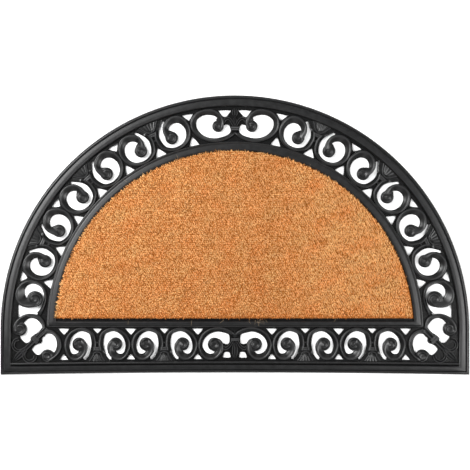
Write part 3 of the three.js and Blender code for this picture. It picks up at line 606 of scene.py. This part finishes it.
def tie(moulding, pattern, width, cell):
    """One tie: thin web with its notch at the frame, fluted bell foot, double collar, bump and bar."""
    rows = np.asarray(pattern["rows"], float)[:7]
    middle = (rows[:, :2] + rows[:, 2:]) / 2
    past = width + SUNK
    half_width, apex = pattern["tie_notch"]
    edge_u = np.concatenate([middle[:, 0], middle[-1:, 0]])
    edge_v = np.concatenate([middle[:, 1], [past]])
    for side in SIDES:
        half_web(moulding, (-SUNK, past), edge_u, edge_v,
                 lambda v: notch(v, apex, past, half_width), cell(side))
    place = cell(1)
    foot, flare = pattern["rows"][0][0] - 1.2, pattern["rows"][1][0] - 1.0
    v = np.linspace(-SUNK, 12.2, 16)
    half = np.interp(v, (-1, 8, 12.2), (foot, flare, 2.6))
    moulding.ribbon(pair(-half, v), pair(half, v), fluted(5, 4.6, 5.2), place,
                    painted_highlight=0.0)
    bell = np.array([(foot, -0.6), ((foot + flare) / 2, 3.8), (flare + 0.6, 7.8), (5.4, 11.8),
                     (3, 13.3), (0, 13.7)])
    bell = np.vstack([bell * (-1, 1), bell[-2::-1]])
    moulding.bar(curve(bell, 44), 1.25, BELL_BAR, place, painted_highlight=0.6)
    # The collar takes half the painted highlight
    moulding.collar(15.4, 21.6, 6.2, place, 0.9, 0.5, steps=10)
    u = np.linspace(-3.72, 3.72, 10)
    moulding.bar(pair(u, 28.4), 1.2, SMALL_BAR, place, painted_highlight=0.2)


def contact(moulding, pattern, width, cell):
    """Thin web where two scrolls touch, with notches at the frame and at the rim."""
    rows = np.asarray(pattern["rows"], float)[6:13][::-1]
    middle = (rows[:, :2] + rows[:, 2:]) / 2
    past = width + SUNK
    upper_half, upper_apex = pattern["contact_notch"]
    lower_half, lower_apex = pattern["rim_notch"]
    edge_u = pattern["width"] - np.concatenate([middle[:1, 0], middle[:, 0], middle[-1:, 0]])
    edge_v = np.concatenate([[-SUNK], middle[:, 1], [past]])

    def gap(v):
        return notch(v, upper_apex, past, upper_half) + notch(v, lower_apex, -SUNK, lower_half)
    for side in SIDES:
        half_web(moulding, (-SUNK, past), edge_u, edge_v, gap, cell(side))


def scroll_row(pattern, width, ties, contacts, cell):
    """The tied pairs of scrolls along one band, the same on both sides of its middle."""
    row = Moulding()
    for end in SIDES:
        for axis in ties:
            tie(row, pattern, width, lambda side: cell(end * axis, side))
            for side in SIDES:
                scroll(row, pattern, cell(end * axis, side))
        for axis in contacts:
            contact(row, pattern, width, lambda side: cell(end * axis, side))
    return row


def leaf(moulding, foot, tip, half_width, place, top=1.0):
    """Pointed leaf along v: half width W sin(pi s)^0.8, lower towards its ends, with a cross rib
    every 4.4 mm or so, each of them a whole wave of 0.93 + 0.07 cos."""
    s = np.linspace(0.015, 0.985, 48)
    swell = np.sin(np.pi * s)
    half = half_width * swell**0.8
    v = foot + (tip - foot) * s
    ribs = 0.93 + 0.07 * np.cos(2 * np.pi * np.round((tip - foot) / 4.4) * s)
    moulding.ribbon(pair(-half, v), pair(half, v), GROOVED_LEAF, place,
                    top * ribs * (0.3 + 0.7 * swell**0.4))


def fleur(moulding, floors, pattern, arm, parts, cell):
    """Centre fleur: floors, leaves, collar and arms, with a large scroll on each side. Parts are the
    foot, tip and half width of each leaf, and the collar's two edges."""
    for side in SIDES:
        for order, outline in enumerate(floors):
            moulding.floor(outline, cell(side), order + (1 + side))
        scroll(moulding, pattern, cell(side))
        knots = 0.9 + 0.1 * np.cos(2 * np.pi * 4 * np.linspace(0, 1, 44))
        moulding.bar(curve(arm, 44), np.linspace(1.8, 2.7, 44), DOUBLE_RIDGE, cell(side), knots)
    place = cell(1)
    for foot, tip, half_width, lift in parts["leaves"]:
        leaf(moulding, foot, tip, half_width, place, lift)
    moulding.collar(*parts["collar"], 6.4, place)


def corner(moulding, side):
    """Corner: floors, side scroll, two lobes, and a leaf, curls, collar and stem on the diagonal."""
    place = corner_cell(side)
    diagonal = diagonal_cell(side)
    for order, outline in enumerate(CORNER_FLOORS):
        moulding.floor(outline, place, order)
    for pattern in (SIDE_SCROLL, UPPER_LOBE, LOWER_LOBE):
        scroll(moulding, pattern, place)
    stem = curve(((0, 28), (0, 45), (0, 62), (0, 76)), 30)
    moulding.bar(stem, np.linspace(3, 4, 30), DOUBLE_RIDGE, diagonal, 1.05)
    leaf(moulding, 1, 33, 5.6, diagonal, 1.05)
    for low, high, reach in ((46.4, 50.8, 7), (51, 54.8, 5.8)):
        moulding.collar(low, high, reach, diagonal, 1.12)
    for way in SIDES:
        curl = curve(np.asarray(CORNER_CURL, float) * (way, 1), 64)
        moulding.bar(curl, np.linspace(2.2, 2.8, 64), DOUBLE_RIDGE, diagonal, 0.9)


def waves(x, y, pitch, seed, count=24):
    """Smooth seeded unevenness: the mean of sines sin(kx x + ky y + p), wavelengths near the pitch."""
    rng = np.random.default_rng(seed)
    heading = rng.uniform(0, 2 * np.pi, count)
    k = 2 * np.pi / (pitch * rng.uniform(0.7, 1.6, count))
    phase = rng.uniform(0, 2 * np.pi, count)
    total = np.zeros(np.shape(x))
    for h, w, p in zip(heading, k, phase):
        total = total + np.sin(w * (np.cos(h) * x + np.sin(h) * y) + p)
    return total / np.sqrt(count / 2)


def tuft_centres(rng, pitch, radius, base_y):
    """Centres of tufts on a jittered hexagonal grid inside the D, and how far in from its edge."""
    rows = np.arange(base_y, ARC_CENTRE_Y + radius, pitch * np.sqrt(0.75))
    columns = np.arange(-radius, radius, pitch)
    gx, gy = np.meshgrid(columns, rows)
    gx = gx + (np.arange(len(rows)) % 2)[:, None] * pitch / 2
    centres = pair(gx.ravel(), gy.ravel())
    centres = centres + rng.normal(0, SCATTER[0] * pitch, centres.shape)
    to_arc = radius - np.hypot(centres[:, 0], centres[:, 1] - ARC_CENTRE_Y)
    depth_in = np.minimum(to_arc, centres[:, 1] - base_y)
    return centres[depth_in > 0], depth_in[depth_in > 0]


def tufts(seed, count, bed, top, pitch, width):
    """Points, loops, sizes and tints of coir fibres in tufts. Fibre k of a tuft is a slim tetrahedron
    from the bed to its tip, at root + lean L, where lean is the whole pile's, the tuft's and the
    fibre's own, and more outwards at the edge. Sparse tufts sink and are painted darker as shade in
    the gaps. Tone and warmth vary by tuft and in slow waves, and the edge that faces down and to the
    right gets painted shade, darker and warmer."""
    rng = np.random.default_rng(seed)
    radius, base_y = COIR_ROWS[2][0] - 0.6, COIR_ROWS[2][1] + 0.6
    centres, depth_in = tuft_centres(rng, pitch, radius, base_y)
    tuft = rng.integers(0, len(centres), count)
    root = centres[tuft] + rng.normal(0, SCATTER[1] * pitch, (count, 2)) + PILE_SHIFT
    outward = root - (0, ARC_CENTRE_Y)
    outward /= np.linalg.norm(outward, axis=1)[:, None]
    low = (root[:, 1] - base_y) < (radius - np.hypot(root[:, 0], root[:, 1] - ARC_CENTRE_Y))
    outward[low] = (0, -1)
    edge_reach, edge_drop, splay, shade_reach = EDGE
    edge = np.exp(-depth_in[tuft] / edge_reach)
    lean = rng.normal(0, LEAN_SPREAD, (len(centres), 2))[tuft] + rng.normal(0, LEAN_SPREAD, (count, 2))
    ragged = edge * np.abs(rng.normal(0, splay, count))
    lean = lean + outward * ragged[:, None] + PILE_LEAN
    lean[:, 1] += np.interp(root[:, 0], *RIGHT_LEAN)
    drop = edge_drop * edge
    share, gather, sink, darker = SPARSE
    cluster = waves(centres[:, 0], centres[:, 1], 26, 11)
    sparse = (rng.random(len(centres)) < share + gather * cluster)[tuft]
    of_tuft, of_fibre, highest = RISE
    rise = rng.normal(0, of_tuft, len(centres))[tuft] - sink * sparse
    rise = rise + BED[1] * waves(root[:, 0], root[:, 1], 45, 5) + rng.normal(0, of_fibre, count)
    tip_z = top + np.minimum(rise - drop, highest)
    tip = np.concatenate([root + lean * (tip_z - bed)[:, None] * LEAN_SHARE, tip_z[:, None]], -1)
    turn = rng.uniform(0, 2 * np.pi, count)
    girth = width * rng.uniform(0.7, 1.3, count)
    corners = []
    for k in range(3):
        angle = turn + 2 * np.pi * k / 3
        ring = root + girth[:, None] * pair(np.cos(angle), np.sin(angle))
        corners.append(np.concatenate([ring, (bed - drop)[:, None]], -1))
    points = np.stack([*corners, tip], 1)
    faces = np.array([(0, 2, 1), (0, 1, 3), (1, 2, 3), (2, 0, 3)])
    loops = (4 * np.arange(count)[:, None, None] + faces[None]).ravel()
    # Sparse tufts are painted darker as shade in the gaps; the edge facing down and right gets painted
    # shade, darker and warmer
    tone = 0.85 + rng.normal(0, 1.1, len(centres))[tuft] + rng.normal(0, 0.6, count) - darker * sparse
    shaded = np.exp(-depth_in[tuft] / shade_reach) * np.clip(outward @ (0.5, -0.9), 0, 1)
    tone = tone + 0.15 * waves(root[:, 0] * 0.12, root[:, 1], 14, 12) - shaded
    warmth = rng.normal(0, 0.5, len(centres))[tuft] + 0.35 * waves(root[:, 0], root[:, 1], 40, 13)
    return points.reshape(-1, 3), loops, np.full(4 * count, 3), (tone, warmth + 2.4 * shaded)


def fibre_tints(tone, warmth, husk, straw, bark, rust):
    """Colour of each fibre corner: husk, towards straw or bark by tone, shifted towards or away from
    rust by warmth. The three root corners are darker than the tip, as painted shade."""
    pale = np.clip(tone / 2.4, 0, 1)[:, None]
    dark = np.clip(-tone / 2.0, 0, 1)[:, None]
    warm = np.clip(warmth / 1.5, -1, 1)[:, None] * (1 - dark)
    colour = np.asarray(husk) * (1 - pale - dark) + np.asarray(straw) * pale + np.asarray(bark) * dark
    colour = colour + (np.asarray(rust) - np.asarray(husk)) * warm
    # Painted shade: the root corners keep only ROOT_SHADE of the colour
    shade = np.array([ROOT_SHADE, ROOT_SHADE, ROOT_SHADE, 1.0])[None, :, None]
    tint = colour[:, None, :] * shade
    return np.concatenate([tint, np.ones(tint.shape[:2] + (1,))], -1).reshape(-1, 4)


class Value:
    """A number that flows through a finish. Arithmetic on it adds Math nodes."""

    def __init__(self, finish, socket):
        self.finish = finish
        self.socket = socket

    def math(self, operation, first, second):
        return self.finish.node("ShaderNodeMath", {"operation": operation}, {0: first, 1: second}, 0)

    def __add__(self, other):
        return self.math("ADD", self, other)

    def __mul__(self, other):
        return self.math("MULTIPLY", self, other)

    __radd__ = __add__
    __rmul__ = __mul__

    def between(self, low, high):
        """0 below low, 1 above high, smooth between them."""
        return self.finish.node("ShaderNodeMapRange", {"interpolation_type": "SMOOTHSTEP"},
                                {"Value": self, "From Min": low, "From Max": high}, 0)


class Finish:
    """One material: a Principled shader and the nodes that feed it."""

    def __init__(self, name):
        self.material = bpy.data.materials.new(name)
        self.material.use_nodes = True
        self.tree = self.material.node_tree
        self.shader = self.tree.nodes["Principled BSDF"]

    def node(self, kind, settings, values, output):
        """Adds a node: its type, its settings, its sockets' values or links, and the output wanted."""
        made = self.tree.nodes.new(kind)
        for name, value in settings.items():
            setattr(made, name, value)
        for key, value in values.items():
            self.feed(made.inputs[key], value)
        return Value(self, made.outputs[output])

    def feed(self, socket, value):
        """Links a Value to a socket, or sets the socket to a constant."""
        if isinstance(value, Value):
            self.tree.links.new(value.socket, socket)
        else:
            socket.default_value = value

    def place(self):
        """Object coordinates, in metres."""
        return self.node("ShaderNodeTexCoord", {}, {}, "Object")

    def noise(self, scale, detail=2.0, rough=0.5):
        """Fractal noise on Object coordinates, about 0 to 1."""
        values = {"Vector": self.place(), "Scale": scale, "Detail": detail, "Roughness": rough}
        return self.node("ShaderNodeTexNoise", {}, values, 0)

    def mix(self, share, first, second):
        """Colour between first and second."""
        values = {0: share, 6: first, 7: second}
        return self.node("ShaderNodeMix", {"data_type": "RGBA"}, values, 2)

    def bump(self, height, distance, strength):
        """Normal tilted by the height, at most the distance in metres."""
        values = {"Height": height, "Distance": distance, "Strength": strength}
        return self.node("ShaderNodeBump", {}, values, 0)

    def set(self, **sockets):
        """Feeds the shader's sockets; an underscore in a name stands for a space."""
        for name, value in sockets.items():
            self.feed(self.shader.inputs[name.replace("_", " ")], value)
        return self.material


def rubber_finish(name, dark, light, highlit):
    """Moulded rubber: cloudy dark grey and a fine grain, with painted shade that darkens it down in the
    openwork and a painted highlight that greys it along the crests."""
    f = Finish(name)
    cloud = f.noise(14, 3)
    grain = f.noise(900, 2)
    scuff = f.noise(160, 4, 0.7)
    height = f.node("ShaderNodeSeparateXYZ", {}, {0: f.place()}, "Z")
    # Painted shade: below the raised bands the colour stays the dark shade, down in the openwork; it
    # mottles only on the raised bands
    raised = height.between(0.0038, 0.0072)
    share = raised * (cloud * 0.5 + scuff.between(0.35, 0.75) * 0.5)
    crest = f.node("ShaderNodeAttribute", {"attribute_name": "crest"}, {}, "Fac")
    # Painted highlight: the crests are greyed towards the highlight colour, more where the scuff noise is
    # high
    colour = f.mix(crest * (0.6 + 0.4 * scuff), f.mix(share, (*dark, 1), (*light, 1)), (*highlit, 1))
    rough = GLOSS + scuff.between(0.3, 0.8) * 0.08 + cloud * 0.05
    rough = rough + height.between(WEB_TOP * MM, 0.0038) * 0.12
    normal = f.bump(grain * 0.6 + scuff * 0.4, 0.00012, 0.5)
    return f.set(Base_Color=colour, Roughness=rough, Normal=normal, Specular_IOR_Level=0.37)


def coir_bed_finish(husk, bark):
    """Bed between the fibres, painted dark as the shade between the tufts: bark brown with husk specks."""
    f = Finish("coir_bed")
    speck = f.noise(1500, 2, 0.7)
    patch = f.noise(420, 2)
    share = speck.between(0.48, 0.62) * (patch * 0.5 + 0.25)
    colour = f.mix(share, (*bark, 1), (*husk, 1))
    normal = f.bump(speck, 0.0008, 0.8)
    return f.set(Base_Color=colour, Roughness=0.95, Normal=normal, Specular_IOR_Level=0.15)


def coir_fibre_finish():
    """Dry coir fibre: the tint that each fibre carries, with its painted shade, mottled along its length.
    """
    f = Finish("coir_fibre")
    tint = f.node("ShaderNodeAttribute", {"attribute_name": "fibre_tint"}, {}, "Color")
    mottle = f.noise(1600, 2)
    colour = f.mix(mottle.between(0.35, 0.75) * 0.3, tint, MOTTLE)
    return f.set(Base_Color=colour, Roughness=0.8, Specular_IOR_Level=0.2)


def stray_finish(straw):
    """Dusty dry fibre, mottled along its length."""
    f = Finish("stray_fibre")
    colour = f.mix(f.noise(500, 2), (*straw, 1), STRAY_PALE)
    return f.set(Base_Color=colour, Roughness=0.8, Specular_IOR_Level=0.2)


def length_setting(name, description, default):
    """A length in metres that a user can change."""
    return FloatProperty(name=name, description=description, default=default, unit="LENGTH")


def colour_setting(name, description, default):
    """A colour that a user can change."""
    return FloatVectorProperty(name=name, description=description, default=default, subtype="COLOR")


class DoormatSizes(bpy.types.PropertyGroup):
    """Sizes that a user would change."""
    pile_top: length_setting("Pile top", "Mean height of the coir pile above the floor", 0.0138)
    tuft_pitch: length_setting("Tuft pitch", "Distance between neighbouring tufts of coir", 0.0036)
    fibre_width: length_setting("Fibre width", "Radius of a coir fibre at its root", 0.0005)
    fibres: IntProperty(name="Fibres", description="Coir fibres in each of the pile's pieces",
                        default=49500, subtype="UNSIGNED")
    camera_height: length_setting("Camera height", "Height of the camera above the floor", 2.4)


class DoormatColours(bpy.types.PropertyGroup):
    """Colours that a user would change."""
    # Painted shade down in the openwork, and the dark end of the mottle on the raised bands
    rubber_shade_and_mottle: colour_setting("Rubber, low", "Rubber down in the openwork", (0.002, 0.002, 0.0021))
    rubber_light: colour_setting("Rubber, raised", "Rubber on the raised bands", (0.0098, 0.0099, 0.0104))
    # Painted highlight along the crests of the rubber
    rubber_painted_highlight: colour_setting("Rubber, worn", "Rubber along the worn crests", (0.055, 0.055, 0.056))
    husk: colour_setting("Husk", "Main colour of the coir", (0.80, 0.335, 0.09))
    rust: colour_setting("Rust", "Warmest tint of the coir", (0.83, 0.27, 0.05))
    straw: colour_setting("Straw", "Pale coir fibres", (1.0, 0.59, 0.25))
    # Bark also paints the shade of the bed between the fibres and of the sparse tufts
    bark: colour_setting("Bark", "Dark coir fibres", (0.17, 0.045, 0.005))
    stray: colour_setting("Stray fibres", "Dusty fibres that lie on the rubber", (0.17, 0.115, 0.07))
    floor: colour_setting("Floor", "Pale floor under the mat", (0.9, 0.9, 0.9))


def rubber():
    """The rubber finish, made once."""
    name = "moulded_rubber"
    colours = bpy.context.scene.doormat_colours
    shades = [tuple(c) for c in (colours.rubber_shade_and_mottle, colours.rubber_light, colours.rubber_painted_highlight)]
    return bpy.data.materials.get(name) or rubber_finish(name, *shades)


def fit_rubber(moulding, name):
    """A finished rubber piece on the root body, in place of the plain solid."""
    piece = moulding.object(name, rubber())
    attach(piece, "root")
    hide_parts("rubber_mat")


def fit_coir(piece):
    """A finished coir piece on the root body, in place of the plain pad."""
    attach(piece, "root")
    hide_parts("coir_inlay")


class DOORMAT_OT_rim(bpy.types.Operator):
    """Sweep the stepped rim round the D and run the ridge along its base"""
    bl_idname = "doormat.rim"
    bl_label = "Rim and base ridge"

    def execute(self, context):
        rim = Moulding()
        loops = [with_height(d_loop(OUTER_RADIUS - arc, BASE_MID_Y + base), z)
                 for arc, base, z in RIM_ROWS]
        rim.shell(np.stack(loops, 1), ring=True)
        x = np.linspace(-RIDGE_REACH, RIDGE_REACH, 49)
        inwards, z = np.asarray(RIDGE_ROWS, float).T
        plan = bowed(x[:, None], BASE_MID_Y + inwards)
        rim.shell(with_height(plan, z))
        fit_rubber(rim, "rim")
        return {"FINISHED"}


class DOORMAT_OT_inner_frame(bpy.types.Operator):
    """Sweep the inner frame round the tray and lay the tray's floor"""
    bl_idname = "doormat.inner_frame"
    bl_label = "Inner frame and tray"

    def execute(self, context):
        inner = Moulding()
        loops = [with_height(d_loop(radius, base), z) for radius, base, z in FRAME_ROWS]
        inner.shell(np.stack(loops, 1), ring=True)
        radius, base, bottom, top = TRAY
        tray = d_loop(radius, base)
        inner.shell(np.stack([with_height(tray, bottom), with_height(tray, top)]))
        fit_rubber(inner, "inner_frame")
        return {"FINISHED"}


class DOORMAT_OT_base_scrolls(bpy.types.Operator):
    """Lay the tied pairs of scrolls along the straight edge"""
    bl_idname = "doormat.base_scrolls"
    bl_label = "Scrolls of the straight edge"

    def execute(self, context):
        width = FRAME_BASE_Y - BASE_BAND_Y
        row = scroll_row(BASE_SCROLL, width, BASE_TIES, BASE_CONTACTS, base_cell)
        fit_rubber(row, "base_scrolls")
        return {"FINISHED"}


class DOORMAT_OT_arc_scrolls(bpy.types.Operator):
    """Lay the tied pairs of scrolls round the arc"""
    bl_idname = "doormat.arc_scrolls"
    bl_label = "Scrolls of the arc"

    def execute(self, context):
        width = ARC_BAND_RADIUS - FRAME_RADIUS
        row = scroll_row(ARC_SCROLL, width, ARC_TIES, ARC_CONTACTS, arc_cell)
        fit_rubber(row, "arc_scrolls")
        return {"FINISHED"}


class DOORMAT_OT_fleurs(bpy.types.Operator):
    """Model the fleurs at the middle of the arc and of the straight edge, and the two corners"""
    bl_idname = "doormat.fleurs"
    bl_label = "Fleurs and corners"

    def execute(self, context):
        centres = Moulding()
        fleur(centres, BASE_FLEUR_FLOORS, BASE_CENTRE_SCROLL, BASE_ARM, BASE_FLEUR,
              lambda side: base_cell(0, side))
        fleur(centres, ARC_FLEUR_FLOORS, ARC_CENTRE_SCROLL, ARC_ARM, ARC_FLEUR,
              lambda side: arc_cell(0, side))
        fit_rubber(centres, "centre_fleurs")
        corners = Moulding()
        for side in SIDES:
            corner(corners, side)
        fit_rubber(corners, "corner_fleurs")
        return {"FINISHED"}


class DOORMAT_OT_coir(bpy.types.Operator):
    """Lay the coir pad in the tray and stand its pile on it"""
    bl_idname = "doormat.coir"
    bl_label = "Coir inlay"

    def execute(self, context):
        sizes = context.scene.doormat_sizes
        colours = context.scene.doormat_colours
        husk, straw, bark, rust = (tuple(c) for c in (colours.husk, colours.straw, colours.bark,
                                                      colours.rust))
        bed = Moulding()
        rings = [with_height(d_loop(radius, base), z) for radius, base, z in COIR_ROWS]
        top, wave, middle = BED
        rim = rings[-1][:, :2]
        for share in np.linspace(0.97, 0.02, 40):
            plan = middle + (rim - middle) * share
            rings.append(with_height(plan, top + wave * waves(plan[:, 0], plan[:, 1], 45, 5)))
        bed.shell(np.stack(rings))
        pad = bed.object("coir_pad", coir_bed_finish(husk, bark))
        fit_coir(pad)
        finish = coir_fibre_finish()
        for number, seed in enumerate(PILE_SEEDS, 1):
            points, loops, counts, looks = tufts(seed, sizes.fibres, ROOT_Z, sizes.pile_top / MM,
                                                 sizes.tuft_pitch / MM, sizes.fibre_width / MM)
            piece = mesh_object(f"coir_pile_{number}", points, loops, counts, finish)
            tint = piece.data.attributes.new("fibre_tint", "FLOAT_COLOR", "POINT")
            colour = fibre_tints(*looks, husk, straw, bark, rust)
            tint.data.foreach_set("color", colour.astype(np.float32).ravel())
            fit_coir(piece)
        x, y = d_loop(COIR_ROWS[2][0], COIR_ROWS[2][1]).T
        return {"FINISHED"}


class DOORMAT_OT_strays(bpy.types.Operator):
    """Drop a few loose coir fibres on the rubber beside the pile"""
    bl_idname = "doormat.strays"
    bl_label = "Stray fibres"

    def execute(self, context):
        loose = Moulding()
        rng = np.random.default_rng(8)
        low, near_rise, radius, bend = STRAY
        for x, y, heading, length in STRAYS:
            s = np.linspace(0, 1, 14)
            angle = np.radians(heading) + rng.uniform(-bend, bend) * s**2
            step = pair(np.cos(angle), np.sin(angle)) * length / len(s)
            plan = np.array([x, y]) + np.cumsum(step, 0)
            rise = low + near_rise * (1 - s) ** 2
            turn = np.linspace(0, 2 * np.pi, 7)[:-1]
            girth = radius * (1 - 0.6 * s)[:, None]
            across = plan[:, None] + square_to(plan)[:, None] * (girth * np.cos(turn))[..., None]
            loose.shell(with_height(across, rise[:, None] + girth * np.sin(turn)))
        piece = loose.object("stray_fibres", stray_finish(tuple(context.scene.doormat_colours.stray)))
        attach(piece, "root")
        return {"FINISHED"}


def soft_light(name, power, size, position):
    """A square area light that looks at the middle of the mat."""
    lamp = bpy.data.lights.new(name, "AREA")
    lamp.energy = power
    lamp.size = size
    made = bpy.data.objects.new(name, lamp)
    made.location = position
    made.rotation_euler = (-made.location).to_track_quat("-Z", "Y").to_euler()
    bpy.context.scene.collection.objects.link(made)


class DOORMAT_OT_stage(bpy.types.Operator):
    """Lay the pale floor, hang the soft lights and set the camera straight above the mat"""
    bl_idname = "doormat.stage"
    bl_label = "Floor, lights and camera"

    def execute(self, context):
        scene = context.scene
        floor = Finish("pale_floor")
        paint = floor.set(Base_Color=(*scene.doormat_colours.floor, 1), Roughness=0.9)
        corners = np.array([(-1, -1, 0), (1, -1, 0), (1, 1, 0), (-1, 1, 0)]) * FLOOR_REACH
        mesh_object("floor", corners, np.arange(4), np.array([4]), paint)
        for light in LIGHTS:
            soft_light(*light)
        world = bpy.data.worlds.new("studio")
        world.use_nodes = True
        world.node_tree.nodes["Background"].inputs["Color"].default_value = (1, 1, 1, 1)
        world.node_tree.nodes["Background"].inputs["Strength"].default_value = WORLD_LIGHT
        scene.world = world
        scene.view_settings.view_transform = "Standard"
        lens = bpy.data.cameras.new("camera")
        height = scene.doormat_sizes.camera_height
        pixels, pixel, x = PICTURE
        lens.lens = lens.sensor_width * (height - WEB_TOP * MM) / (pixels * pixel * MM)
        camera = bpy.data.objects.new("camera", lens)
        camera.location = (x, 0, height)
        scene.collection.objects.link(camera)
        scene.camera = camera
        return {"FINISHED"}


STEPS = (
    DOORMAT_OT_stage,
    DOORMAT_OT_rim,
    DOORMAT_OT_inner_frame,
    DOORMAT_OT_base_scrolls,
    DOORMAT_OT_arc_scrolls,
    DOORMAT_OT_fleurs,
    DOORMAT_OT_coir,
    DOORMAT_OT_strays,
)


class DOORMAT_PT_panel(bpy.types.Panel):
    """Lists the steps that build the mat"""
    bl_idname = "DOORMAT_PT_panel"
    bl_label = "Half-round doormat"
    bl_space_type = "VIEW_3D"
    bl_region_type = "UI"
    bl_category = "Doormat"

    def draw(self, context):
        for group in (context.scene.doormat_sizes, context.scene.doormat_colours):
            for name in group.__annotations__:
                self.layout.prop(group, name)
        for step in STEPS:
            self.layout.operator(step.bl_idname)


CLASSES = (DoormatSizes, DoormatColours, *STEPS, DOORMAT_PT_panel)


def register():
    for cls in CLASSES:
        bpy.utils.register_class(cls)
    bpy.types.Scene.doormat_sizes = PointerProperty(type=DoormatSizes)
    bpy.types.Scene.doormat_colours = PointerProperty(type=DoormatColours)


def unregister():
    del bpy.types.Scene.doormat_colours
    del bpy.types.Scene.doormat_sizes
    for cls in reversed(CLASSES):
        bpy.utils.unregister_class(cls)


def main():
    register()
    for step in STEPS:
        group, name = step.bl_idname.split(".")
        getattr(getattr(bpy.ops, group), name)()


if __name__ == "__main__":
    main()
